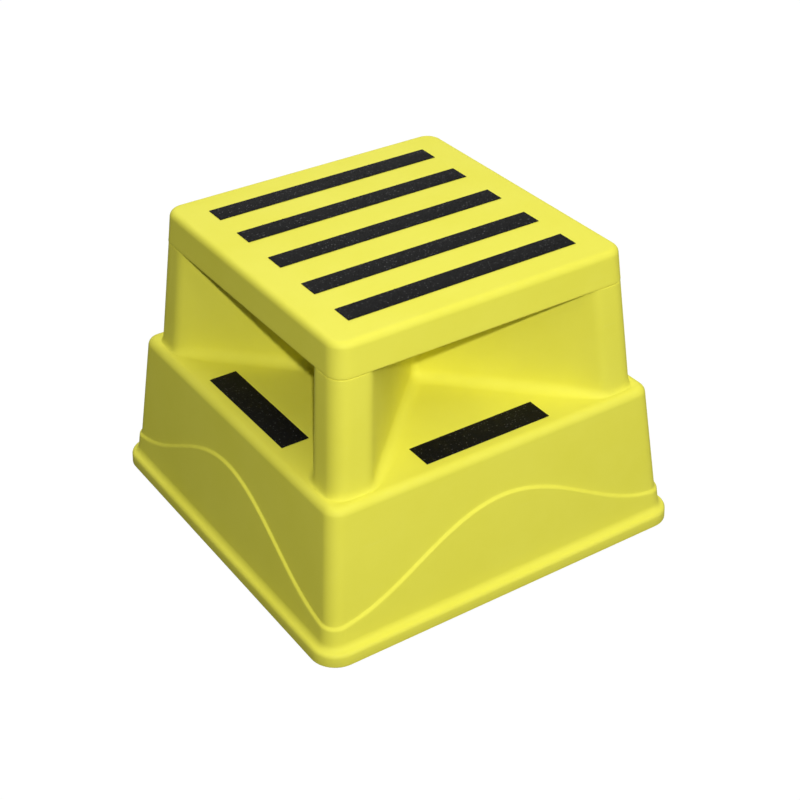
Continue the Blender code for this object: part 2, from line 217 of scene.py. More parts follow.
def run_tree(item: bpy.types.Object, tree: bpy.types.NodeTree, values: Mapping[str, object]) -> None:
    """Runs a geometry tree on an object and keeps the result as its plain mesh.

    Args:
        item: the object, at the origin.
        tree: the geometry tree.
        values: the tree's inputs by name.
    """
    modifier = item.modifiers.new(tree.name, "NODES")
    modifier.node_group = tree
    known = {s.name: s.identifier for s in tree.interface.items_tree
             if s.item_type == "SOCKET" and s.in_out == "INPUT"}
    for name, value in values.items():
        modifier[known[name]] = value
    keep_result(item)


# --- Shader groups that several finishes share ----------------------------------------------------
class Effects:
    """Shader node groups, each built once and placed in the materials with their own values."""

    def __init__(self) -> None:
        """Builds the groups."""
        self.grain = self._grain()
        self.scuffs = self._mask("scuffs", {"Amount": 0.5}, self._scratches)
        self.wear = self._mask("edge_wear", {"Edge": 0.0, "Amount": 0.5}, self._rubbed)
        self.dust = self._mask("floor_dust", {"Reach": 0.02, "Amount": 0.3}, self._settled)

    @staticmethod
    def _grain() -> bpy.types.NodeTree:
        """Fine moulded grain over slow ripples, with a mottle for colour.

        Returns:
            The group, which gives a height and a mottle.
        """
        sheet, given, made = new_group(
            "surface_grain", "ShaderNodeTree",
            {"Vector": ("Vector", None), "Grain": ("Float", 1500.0),
             "Ripple": ("Float", 90.0), "Ripple Share": ("Float", 0.5)},
            {"Height": "Float", "Mottle": "Float"})
        at = given.outputs["Vector"]
        fine = sheet.noise(at, given.outputs["Grain"], 3.0, 0.6)
        slow = sheet.noise(at, given.outputs["Ripple"], 2.0, 0.5)
        cloud = sheet.noise(at, 11.0, 4.0, 0.6)
        share = given.outputs["Ripple Share"]
        sheet.wire(sheet.math("MULTIPLY_ADD", slow, share, fine), made.inputs["Height"])
        mottle = sheet.math("MULTIPLY_ADD", fine, 0.25, sheet.math("MULTIPLY", cloud, 0.75))
        sheet.wire(sheet.ramp(mottle, 0.3, 0.7), made.inputs["Mottle"])
        return sheet.tree

    @staticmethod
    def _mask(name: str, takes: Mapping[str, float],
              draw: Callable[[Sheet, Mapping[str, bpy.types.NodeSocket]], Tuple[object, object]]
              ) -> bpy.types.NodeTree:
        """A group that gives one mask: the product of two patterns and an amount.

        Args:
            name: the group's name.
            takes: its inputs besides the place, with their values if nothing is joined to them.
            draw: draws the two patterns from the inputs.

        Returns:
            The group.
        """
        sockets = {label: ("Float", value) for label, value in takes.items()}
        sheet, given, made = new_group(name, "ShaderNodeTree", {"Vector": ("Vector", None), **sockets},
                                       {"Mask": "Float"})
        first, second = draw(sheet, given.outputs)
        both = sheet.math("MULTIPLY", first, second)
        sheet.wire(sheet.math("MULTIPLY", both, given.outputs["Amount"]), made.inputs["Mask"])
        return sheet.tree

    @staticmethod
    def _scratches(sheet: Sheet, got: Mapping[str, bpy.types.NodeSocket]) -> Tuple[object, object]:
        """Fine scratches in two directions, kept to a few patches.

        Args:
            sheet: the group's sheet.
            got: its inputs.

        Returns:
            The scratches and the patches.
        """
        lines = []
        for angle, scale in ((0.5, (14.0, 900.0, 300.0)), (-1.1, (700.0, 18.0, 300.0))):
            place = sheet.add("ShaderNodeMapping",
                              {"Vector": got["Vector"], "Rotation": (0.2, 0.1, angle), "Scale": scale})
            streak = sheet.noise(place.outputs[0], 1.0, 1.0, 0.4)
            lines.append(sheet.ramp(streak, 0.66, 0.78))
        patches = sheet.ramp(sheet.noise(got["Vector"], 16.0, 2.0), 0.5, 0.68)
        return sheet.math("MAXIMUM", lines[0], lines[1]), patches

    @staticmethod
    def _rubbed(sheet: Sheet, got: Mapping[str, bpy.types.NodeSocket]) -> Tuple[object, object]:
        """Rubbed patches along the edges that a mesh marks.

        Args:
            sheet: the group's sheet.
            got: its inputs.

        Returns:
            The patches and the edges.
        """
        broken = sheet.ramp(sheet.noise(got["Vector"], 70.0, 5.0, 0.65), 0.42, 0.66)
        return broken, sheet.ramp(got["Edge"], 0.35, 1.0)

    @staticmethod
    def _settled(sheet: Sheet, got: Mapping[str, bpy.types.NodeSocket]) -> Tuple[object, object]:
        """Thin dust, thickest near the floor.

        Args:
            sheet: the group's sheet.
            got: its inputs.

        Returns:
            The layer by the floor and its specks.
        """
        height = sheet.add("ShaderNodeSeparateXYZ", {0: got["Vector"]}).outputs[2]
        low = sheet.ramp(height, 0.0, got["Reach"], 1.0, 0.0)
        return low, sheet.ramp(sheet.noise(got["Vector"], 240.0, 4.0, 0.7), 0.35, 0.7)


@dataclass(frozen=True)
class Finish:
    """What every finish has: a name, a colour and how rough it is."""

    name: str
    colour: Colour
    roughness: float

    def start(self) -> Tuple[Sheet, bpy.types.Node, bpy.types.NodeSocket]:
        """Makes the material with its shader and its place coordinates.

        Returns:
            The material's sheet, its Principled shader and the object coordinates.
        """
        material = bpy.data.materials.new(self.name)
        material.use_nodes = True
        material.diffuse_color = (*self.colour, 1.0)
        sheet = Sheet(material.node_tree)
        shader = next(n for n in material.node_tree.nodes if n.type == "BSDF_PRINCIPLED")
        at = sheet.add("ShaderNodeTexCoord").outputs["Object"]
        return sheet, shader, at

    def place(self, sheet: Sheet, group: bpy.types.NodeTree, **wires: object) -> bpy.types.Node:
        """Places a shared group in the material.

        Args:
            sheet: the material's sheet.
            group: the group to place.
            wires: its inputs, with _ for each space in a name.

        Returns:
            The group's node.
        """
        node = sheet.add("ShaderNodeGroup", node_tree=group)
        for name, value in wires.items():
            sheet.wire(value, node.inputs[name.replace("_", " ")])
        return node

    def end(self, sheet: Sheet, shader: bpy.types.Node, height: bpy.types.NodeSocket, strength: float,
            depth: float, **wires: object) -> bpy.types.Material:
        """Joins what was drawn to the shader.

        Args:
            sheet: the material's sheet.
            shader: its Principled shader.
            height: the relief of the surface.
            strength, depth: how strong the relief is and how deep it goes.
            wires: the shader's other inputs, with _ for each space in a name.

        Returns:
            The material.
        """
        bump = sheet.add("ShaderNodeBump", {"Height": height, "Strength": strength, "Distance": depth})
        for name, value in wires.items():
            sheet.wire(value, shader.inputs[name.replace("_", " ")])
        sheet.wire(bump.outputs[0], shader.inputs["Normal"])
        return bpy.data.materials[self.name]


@dataclass(frozen=True)
class MouldedPlastic(Finish):
    """Satin moulded plastic, mottled a little, with grain, scuffs, rubbed edges and dust."""

    mottle_colour: Colour = (0.85, 0.81, 0.076)
    wear_colour: Colour = (0.89, 0.87, 0.16)
    dust_colour: Colour = (0.42, 0.39, 0.28)
    grain: float = 1500.0
    bump: float = 0.08
    scuffs: float = 0.14
    wear: float = 0.10
    dust: float = 0.05

    def build(self, effects: Effects) -> bpy.types.Material:
        """Builds the material.

        Args:
            effects: the shared groups.

        Returns:
            The material.
        """
        sheet, shader, at = self.start()
        grain = self.place(sheet, effects.grain, Vector=at, Grain=self.grain, Ripple=70.0,
                           Ripple_Share=0.6)
        scuffs = self.place(sheet, effects.scuffs, Vector=at, Amount=self.scuffs).outputs[0]
        edge = sheet.add("ShaderNodeAttribute", attribute_name="edge").outputs["Fac"]
        wear = self.place(sheet, effects.wear, Vector=at, Edge=edge, Amount=self.wear).outputs[0]
        dust = self.place(sheet, effects.dust, Vector=at, Reach=0.03, Amount=self.dust).outputs[0]
        colour = sheet.blend(grain.outputs["Mottle"], self.mottle_colour, self.colour)
        colour = sheet.blend(wear, colour, self.wear_colour)
        colour = sheet.blend(scuffs, colour, self.wear_colour)
        colour = sheet.blend(dust, colour, self.dust_colour)
        rough = sheet.ramp(grain.outputs["Mottle"], 0.0, 1.0, self.roughness + 0.05, self.roughness - 0.03)
        rough = sheet.math("MULTIPLY_ADD", sheet.math("MAXIMUM", scuffs, dust), 0.25, rough)
        height = sheet.math("MULTIPLY_ADD", scuffs, -0.4, grain.outputs["Height"])
        return self.end(sheet, shader, height, self.bump, 0.2 * MM, Base_Color=colour, Roughness=rough,
                        IOR=1.36)


@dataclass(frozen=True)
class Grit(Finish):
    """Black mineral grit in resin; a few grains are smoother and painted lighter, a painted glint."""

    painted_glint_colour: Colour = (0.09, 0.09, 0.09)
    dust_colour: Colour = (0.16, 0.155, 0.14)
    grain: float = 1100.0
    mottle: float = 1.9
    glint_share: float = 0.03

    def build(self, effects: Effects) -> bpy.types.Material:
        """Builds the material.

        Args:
            effects: the shared groups.

        Returns:
            The material.
        """
        sheet, shader, at = self.start()
        grain = self.place(sheet, effects.grain, Vector=at, Grain=2.0 * self.grain, Ripple=400.0,
                           Ripple_Share=0.8)
        cells = sheet.add("ShaderNodeTexVoronoi", {"Vector": at, "Scale": self.grain})
        pick = sheet.add("ShaderNodeSeparateColor", {0: cells.outputs["Color"]}).outputs[0]
        glint = sheet.ramp(pick, 1.0 - self.glint_share, 1.0 - 0.4 * self.glint_share)
        dust = self.place(sheet, effects.dust, Vector=at, Reach=5.0, Amount=0.010).outputs[0]
        colour = sheet.blend(grain.outputs["Mottle"], self.colour, [self.mottle * c for c in self.colour])
        # Painted glint: a lighter colour on a few grains stands in for light glinting off them; their lower
        # roughness below is real.
        colour = sheet.blend(glint, colour, self.painted_glint_colour)
        colour = sheet.blend(dust, colour, self.dust_colour)
        rough = sheet.ramp(glint, 0.0, 1.0, self.roughness, 0.25)
        height = sheet.math("MULTIPLY_ADD", cells.outputs["Distance"], -1.2, grain.outputs["Height"])
        return self.end(sheet, shader, height, 0.6, 0.3 * MM, Base_Color=colour, Roughness=rough, IOR=1.18)


@dataclass(frozen=True)
class Rubber(Finish):
    """Matt black rubber with a bloom and floor dust."""

    bloom_colour: Colour = (0.055, 0.054, 0.052)
    dust_colour: Colour = (0.20, 0.19, 0.17)

    def build(self, effects: Effects) -> bpy.types.Material:
        """Builds the material.

        Args:
            effects: the shared groups.

        Returns:
            The material.
        """
        sheet, shader, at = self.start()
        grain = self.place(sheet, effects.grain, Vector=at, Grain=1800.0, Ripple=260.0, Ripple_Share=0.7)
        dust = self.place(sheet, effects.dust, Vector=at, Reach=0.01, Amount=0.5).outputs[0]
        colour = sheet.blend(grain.outputs["Mottle"], self.colour, self.bloom_colour)
        colour = sheet.blend(dust, colour, self.dust_colour)
        rough = sheet.ramp(grain.outputs["Mottle"], 0.0, 1.0, self.roughness - 0.08, self.roughness + 0.06)
        return self.end(sheet, shader, grain.outputs["Height"], 0.35, 0.2 * MM, Base_Color=colour,
                        Roughness=rough)


@dataclass(frozen=True)
class ZincPlate(Finish):
    """Zinc-plated steel with a faint yellow passivation and fine handling marks."""

    tint_colour: Colour = (0.66, 0.60, 0.42)
    scuff_colour: Colour = (0.78, 0.78, 0.76)

    def build(self, effects: Effects) -> bpy.types.Material:
        """Builds the material.

        Args:
            effects: the shared groups.

        Returns:
            The material.
        """
        sheet, shader, at = self.start()
        grain = self.place(sheet, effects.grain, Vector=at, Grain=2600.0, Ripple=420.0, Ripple_Share=0.8)
        scuffs = self.place(sheet, effects.scuffs, Vector=at, Amount=0.8).outputs[0]
        colour = sheet.blend(grain.outputs["Mottle"], self.colour, self.tint_colour)
        colour = sheet.blend(scuffs, colour, self.scuff_colour)
        rough = sheet.ramp(grain.outputs["Mottle"], 0.0, 1.0, self.roughness, self.roughness + 0.14)
        return self.end(sheet, shader, grain.outputs["Height"], 0.15, 0.1 * MM, Base_Color=colour,
                        Roughness=rough, Metallic=1.0)


# --- Sizes that the mouldings share ---------------------------------------------------------------
def axis_box(node: str) -> Tuple[Vector, Vector, Vector]:
    """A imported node's lowest and highest corners, and its upright axis."""
    low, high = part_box(node)
    return low, high, Vector(((low.x + high.x) / 2, (low.y + high.y) / 2, 0.0))


@dataclass
class StepSizes:
    """Sizes of the two mouldings in metres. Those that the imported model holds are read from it."""

    wall: float = 4.0 * MM
    rim_step: float = 9.45 * MM
    base_draft: float = math.radians(6.45)
    wave_proud: float = 2.5 * MM
    wave_low: float = 38.5 * MM
    wave_high: float = 113.0 * MM
    ledge: float = 11.1 * MM
    post_draft: float = math.radians(5.6)
    web_half: float = 29.3 * MM
    web_draft: float = math.radians(0.5)
    platform_draft: float = math.radians(5.4)
    skirt_inset: float = 0.7 * MM
    skirt_lift: float = 1.2 * MM
    spigot_play: float = 0.5 * MM
    screw_hole: float = SCREW_HOLE
    rim_half: float = field(init=False)
    rim_z: float = field(init=False)
    tread_z: float = field(init=False)
    spigot_z: float = field(init=False)
    skirt_z: float = field(init=False)
    platform_z: float = field(init=False)
    skirt_foot: float = field(init=False)
    screw_centre: float = field(init=False)
    foot_centre: float = field(init=False)

    def __post_init__(self) -> None:
        """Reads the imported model."""
        low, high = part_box("base_body")
        self.rim_half, self.rim_z, self.spigot_z = high.x, low.z, high.z
        self.tread_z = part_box("tread_grip_front")[0].z - CLEARANCE
        low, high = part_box("platform")
        self.skirt_foot, self.skirt_z = high.x - self.skirt_inset, low.z + self.skirt_lift
        self.platform_z = high.z
        self.screw_centre = abs(axis_box("platform_screw_1")[2].x)
        self.foot_centre = abs(axis_box("foot_1")[2].x)

    @property
    def screw_places(self) -> List[Vector]:
        """Where the axes of the four screws stand."""
        return [Vector((x * self.screw_centre, y * self.screw_centre, 0.0)) for x, y in CORNERS]

    @property
    def post_top(self) -> float:
        """Height of the shoulder that the platform rests on."""
        return self.skirt_z - CLEARANCE

    def wall_at(self, height: float) -> float:
        """Half width of the base's wall at a height."""
        return self.rim_half - self.rim_step - (height - self.rim_z) * math.tan(self.base_draft)

    def post_at(self, height: float) -> float:
        """Half width over the posts at a height."""
        taper = (height - self.tread_z) * math.tan(self.post_draft)
        return self.wall_at(self.tread_z) - self.ledge - taper

    def web_at(self, height: float) -> float:
        """Where a web's face crosses the middle line of a side, at a height."""
        return math.sqrt(2) * (self.web_half - (height - self.tread_z) * math.tan(self.web_draft))

    def skirt_at(self, height: float) -> float:
        """Half width of the platform's skirt at a height."""
        return self.skirt_foot - (height - self.skirt_z) * math.tan(self.platform_draft)

    def wave_at(self, along: float) -> float:
        """Height of the raised panel's wavy edge.

        Args:
            along: distance from the middle of a side.

        Returns:
            The height.
        """
        span = self.wall_at(self.rim_z + self.wave_low)
        swell = (1 + math.cos(math.pi * min(abs(along) / span, 1.0))) / 2
        return self.rim_z + self.wave_low + (self.wave_high - self.wave_low) * swell


# --- Rings and the skins laid over them -----------------------------------------------------------
def rubbed(angle: float) -> float:
    """How rubbed a rounded edge is, from 0 at its two ends to 1 halfway."""
    return math.sin(2 * angle) ** 2


def sweep(start: float, end: float, steps: int) -> List[float]:
    """Even steps from one angle to another, both included."""
    return [start + (end - start) * step / steps for step in range(steps + 1)]


@dataclass(frozen=True)
class RingPlan:
    """How a ring is divided: the number of edges along each stretch of an eighth of it.

    On a square, the stretches end at shares of its straight half side.
    """

    hollow: int = 4
    web: int = 28
    arris: int = 4
    face: int = 3
    corner: int = 6
    web_share: float = 0.80
    arris_share: float = 0.87

    @property
    def shares(self) -> List[float]:
        """How much each point of an eighth belongs to the toe niche, from 1 at its root to 0 outside."""
        outside = self.hollow + self.web + self.arris + self.face
        fade = self.face + self.arris + self.web / 4
        rises = [min(1.0, max(0.0, (outside - step) / fade)) for step in range(outside + self.corner + 1)]
        return [r * r * (3 - 2 * r) for r in rises]

    def square(self, half: float, radius: float, height: Callable[[float], float] | float,
               half_at: Optional[Callable[[float], float]] = None) -> Ring:
        """An eighth of a rounded square, from the middle of the front to its right corner.

        Args:
            half: half width.
            radius: corner radius.
            height: a height, or a rule that gives it at a distance from the middle of the side.
            half_at: gives the half width at a height, where the height changes along the ring.

        Returns:
            The points.
        """
        straight = half - radius
        web_end, arris_end = self.web_share * straight, self.arris_share * straight
        places = [web_end * s / (self.hollow + self.web) for s in range(self.hollow + self.web)]
        places += [web_end + (arris_end - web_end) * s / self.arris for s in range(self.arris)]
        places += [arris_end + (straight - arris_end) * s / self.face for s in range(self.face)]
        turns = [(x, 0.0) for x in places]
        turns += [(straight, angle) for angle in sweep(0.0, EIGHTH, self.corner)]
        points = []
        for x, angle in turns:
            z = height(x + radius * math.sin(angle)) if callable(height) else height
            wide = half_at(z) if half_at else half
            shift = wide - half
            reach = x * (wide - radius) / straight if x < straight else x + shift
            points.append(Vector((reach + radius * math.sin(angle),
                                  -(straight + shift + radius * math.cos(angle)), z)))
        return points

    def cross(self, half: float, web: float, height: float, corner: float, arris: float,
              hollow: float) -> Ring:
        """An eighth of the X of posts and webs, from the root of the front niche to the right corner.

        Args:
            half: half width over the posts.
            web: where the web's face crosses the middle line.
            height: the ring's height.
            corner: radius of the post's outer corner.
            arris: radius where the web's face meets the post's face.
            hollow: radius at the niche's root.

        Returns:
            The points.
        """
        points = []
        centre = -(web + hollow * math.sqrt(2))
        for angle in sweep(0.0, EIGHTH, self.hollow)[:-1]:
            points.append((hollow * math.sin(angle), centre + hollow * math.cos(angle)))
        root = hollow / math.sqrt(2)
        tangent = arris * math.tan(math.radians(22.5))
        start = Vector((root, -web - root))
        end = Vector((half - web, -half)) - tangent * Vector((1, -1)) / math.sqrt(2)
        points += [tuple(start.lerp(end, step / self.web)) for step in range(self.web)]
        edge = half - web + tangent
        for step in range(self.arris):
            angle = EIGHTH * (1 - step / self.arris)
            points.append((edge - arris * math.sin(angle), -half + arris - arris * math.cos(angle)))
        last = half - corner
        points += [(edge + (last - edge) * step / self.face, -half) for step in range(self.face)]
        for angle in sweep(0.0, EIGHTH, self.corner):
            points.append((last + corner * math.sin(angle), -(last + corner * math.cos(angle))))
        return [Vector((x, y, height)) for x, y in points]

    @staticmethod
    def close(eighth: Ring) -> Ring:
        """Mirrors and turns an eighth into a whole ring, anticlockwise from above."""
        quarter = eighth + [Vector((-p.y, -p.x, p.z)) for p in reversed(eighth[1:-1])]
        return [Matrix.Rotation(QUARTER * turn, 3, "Z") @ p for turn in range(4) for p in quarter]


class Skin:
    """Closed rings joined one after another into a closed shell."""

    def __init__(self, name: str, plan: RingPlan) -> None:
        """Starts an empty skin.

        Args:
            name: the name of the object that it will be.
            plan: how its rings are divided.
        """
        self.name = name
        self.plan = plan
        self.rings: List[Ring] = []
        self.edges: List[float] = []
        self.panels: List[Optional[Callable[[float], float]]] = []

    def lay(self, ring: Ring, edge: float = 0.0, panel: Optional[Callable[[float], float]] = None) -> None:
        """Adds the next ring.

        Args:
            ring: the whole ring, anticlockwise from above.
            edge: 1 where the ring runs along an edge that hands and shoes rub.
            panel: gives the wave's height at a distance along a side, on the wall under the wave.
        """
        self.rings.append(ring)
        self.edges.append(edge)
        self.panels.append(panel)

    def square(self, half: float, radius: float, height: float, edge: float = 0.0) -> None:
        """Adds one level rounded square."""
        self.lay(self.plan.close(self.plan.square(half, radius, height)), edge)

    def rounding(self, hub: Tuple[float, float], radius: float, corner: float, angles: Sequence[float],
                 wear: Callable[[float], float] = lambda angle: 0.0) -> None:
        """Adds the rounded squares of a rounded edge.

        Args:
            hub: half width and height of the rounding's centre.
            radius: its radius.
            corner: corner radius of the square through its centre.
            angles: the angle above level of each square's outward normal.
            wear: how rubbed the edge is at an angle.
        """
        for angle in angles:
            reach = radius * math.cos(angle)
            self.square(hub[0] + reach, corner + reach, hub[1] + radius * math.sin(angle), wear(angle))

    def build(self, holes: Sequence[Vector] = (), radius: float = 0.0, sharp: float = 40.0,
              steps: int = 20) -> bpy.types.Object:
        """Joins the rings, closes both ends and pierces them.

        Args:
            holes: centres of the round holes through both end faces.
            radius: the holes' radius.
            sharp: angle in degrees past which an edge stays sharp.
            steps: sides of each hole.

        Returns:
            The new object.
        """
        count = len(self.rings[0])
        points = [p for ring in self.rings for p in ring]
        faces: List[Tuple[int, ...]] = []
        for lower in range(len(self.rings) - 1):
            a, b = lower * count, (lower + 1) * count
            faces += [(a + i, a + (i + 1) % count, b + (i + 1) % count, b + i) for i in range(count)]
        ends = []
        for ring in (self.rings[0], self.rings[-1]):
            height = ring[0].z
            ends.append([[spot(c, radius, s / steps, height) for s in range(steps)] for c in holes])
        starts = []
        for loops in ends:
            starts.append(len(points))
            points += [p for loop in loops for p in loop]
        for which, loops in enumerate(ends):
            ring = 0 if which == 0 else (len(self.rings) - 1) * count
            numbers = [ring + i for i in range(count)]
            numbers += [starts[which] + i for i in range(len(loops) * steps)]
            flat = geometry.tessellate_polygon([self.rings[-which]] + loops)
            for triangle in flat:
                corners = [numbers[i] for i in triangle]
                a, b, c = (points[i] for i in corners)
                upward = (b - a).cross(c - a).z > 0
                if abs((b - a).cross(c - a).z) > NO_AREA:
                    faces.append(tuple(corners if upward == (which == 1) else reversed(corners)))
        for hole in range(len(holes)):
            a, b = starts[0] + hole * steps, starts[1] + hole * steps
            faces += [(a + (i + 1) % steps, a + i, b + i, b + (i + 1) % steps) for i in range(steps)]
        mesh = bpy.data.meshes.new(self.name)
        mesh.from_pydata(points, [], faces)
        self._mark(mesh, count, len(points))
        return dress_mesh(self.name, mesh, sharp)

    def _mark(self, mesh: bpy.types.Mesh, count: int, total: int) -> None:
        """Stores where the edges that wear are, and how far each point lies under the wave.

        Args:
            mesh: the joined rings.
            count: points in a ring.
            total: points in the mesh.
        """
        edge = [e for e in self.edges for _ in range(count)]
        edge += [0.0] * (total - len(edge))
        outward, below = [0.0] * (3 * total), [-1.0] * total
        for number, (ring, rule) in enumerate(zip(self.rings, self.panels)):
            if rule is None:
                continue
            for place, point in enumerate(ring):
                along = min(abs(point.x), abs(point.y))
                ahead = ring[(place + 1) % count] - ring[place - 1]
                normal = Vector((ahead.y, -ahead.x, 0.0)).normalized()
                at = number * count + place
                outward[3 * at:3 * at + 3] = normal
                below[at] = rule(along) - point.z
        for name, kind, values, slot in (("edge", "FLOAT", edge, "value"),
                                         ("outward", "FLOAT_VECTOR", outward, "vector"),
                                         ("below_wave", "FLOAT", below, "value")):
            mesh.attributes.new(name, kind, "POINT").data.foreach_set(slot, values)


# --- Solids and their hand-over -------------------------------------------------------------------
def spot(centre: Vector, radius: float, share: float, height: float) -> Vector:
    """A point at a share of a turn round an upright axis."""
    turn = math.tau * share
    return Vector((centre.x + radius * math.cos(turn), centre.y + radius * math.sin(turn), height))


def dress_mesh(name: str, mesh: bpy.types.Mesh, sharp: float = 40.0) -> bpy.types.Object:
    """Puts a mesh in the scene, smooth except at its sharp edges.

    Args:
        name: the object's name.
        mesh: its mesh.
        sharp: angle in degrees past which an edge stays sharp.

    Returns:
        The new object.
    """
    mesh.polygons.foreach_set("use_smooth", [True] * len(mesh.polygons))
    mesh.set_sharp_from_angle(angle=math.radians(sharp))
    mesh.update()
    item = bpy.data.objects.new(name, mesh)
    bpy.context.scene.collection.objects.link(item)
    return item


def dress_solid(name: str, bm: bmesh.types.BMesh, sharp: float = 40.0) -> bpy.types.Object:
    """Puts a finished solid in the scene and frees what it was built in.

    Args:
        name: the object's name.
        bm: the solid.
        sharp: angle in degrees past which an edge stays sharp.

    Returns:
        The new object.
    """
    mesh = bpy.data.meshes.new(name)
    bm.to_mesh(mesh)
    bm.free()
    return dress_mesh(name, mesh, sharp)


def turned(rows: Sequence[Sequence[Tuple[float, float]]], centre: Vector) -> bmesh.types.BMesh:
    """Builds a solid from rows of (radius, height) points round an upright axis.

    Args:
        rows: the rows, one above the other, each with as many points in even steps of a turn.
        centre: where the axis stands.

    Returns:
        The solid, closed by the axis or by a band from its last row to its first.
    """
    bm = bmesh.new()
    loops = []
    for row in rows:
        radius, height = row[0]
        if radius < ON_AXIS:
            loops.append([bm.verts.new((centre.x, centre.y, height))] * len(row))
        else:
            loops.append([bm.verts.new(spot(centre, radius, step / len(row), height))
                          for step, (radius, height) in enumerate(row)])
    if min(rows[0][0][0], rows[-1][0][0]) > ON_AXIS:
        loops.append(loops[0])
    for lower, upper in zip(loops, loops[1:]):
        for here in range(len(lower)):
            ahead = (here + 1) % len(lower)
            corners = list(dict.fromkeys((lower[here], lower[ahead], upper[ahead], upper[here])))
            if len(corners) > 2:
                bm.faces.new(corners)
    return bm


def lathe(name: str, profile: Sequence[Tuple[float, float]], centre: Vector, steps: int = 48,
          sharp: float = 40.0) -> bpy.types.Object:
    """Turns a profile round an upright axis into a closed solid.

    Args:
        name: the object's name.
        profile: (radius, height) points, anticlockwise with the axis on the left: up the outside.
        centre: where the axis stands.
        steps: sides of the turned shape.
        sharp: angle in degrees past which an edge stays sharp.

    Returns:
        The new object.
    """
    return dress_solid(name, turned([[point] * steps for point in profile], centre), sharp)


def arc(centre: Tuple[float, float], radius: float, start: float, end: float,
        steps: int) -> List[Tuple[float, float]]:
    """Points along an arc.

    Args:
        centre: the arc's centre.
        radius: its radius.
        start, end: its angles in degrees.
        steps: how many edges it has.

    Returns:
        The points, ends included.
    """
    angles = [math.radians(angle) for angle in sweep(start, end, steps)]
    return [(centre[0] + radius * math.cos(a), centre[1] + radius * math.sin(a)) for a in angles]


def prism(name: str, outline: Sequence[Tuple[float, float]], low: float, high: float,
          place: Callable[[float, float, float], Vector]) -> bpy.types.Object:
    """A flat outline given a thickness.

    Args:
        name: the object's name.
        outline: the outline's points.
        low, high: the two ends of its thickness.
        place: puts an outline point and a depth in space.

    Returns:
        The new object.
    """
    bm = bmesh.new()
    ends = [[bm.verts.new(place(u, v, depth)) for u, v in outline] for depth in (low, high)]
    count = len(outline)
    bm.faces.new(ends[0])
    bm.faces.new(ends[1])
    for i in range(count):
        bm.faces.new((ends[0][i], ends[0][(i + 1) % count], ends[1][(i + 1) % count], ends[1][i]))
    bmesh.ops.recalc_face_normals(bm, faces=bm.faces)
    return dress_solid(name, bm, 20.0)


def join(item: bpy.types.Object, others: Sequence[bpy.types.Object]) -> None:
    """Joins other objects at the origin into one, and removes them.

    Args:
        item: the object that takes them in.
        others: the other objects.
    """
    bm = bmesh.new()
    bm.from_mesh(item.data)
    for other in others:
        bm.from_mesh(other.data)
    bm.to_mesh(item.data)
    bm.free()
    for other in others:
        bpy.data.objects.remove(other)


def hand_over(item: bpy.types.Object, material: bpy.types.Material,
              node: str) -> bpy.types.Object:
    """Gives a finished piece its material and its place in the frame.

    Args:
        item: the piece, at the origin.
        material: its material.
        node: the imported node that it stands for.

    Returns:
        The piece.
    """
    item.data.materials.clear()
    item.data.materials.append(material)
    item.data.polygons.foreach_set("material_index", [0] * len(item.data.polygons))
    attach(item, "root")
    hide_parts(node)
    LOG.info("%s: %d faces, %s", item.name, len(item.data.polygons), material.name)
    return item


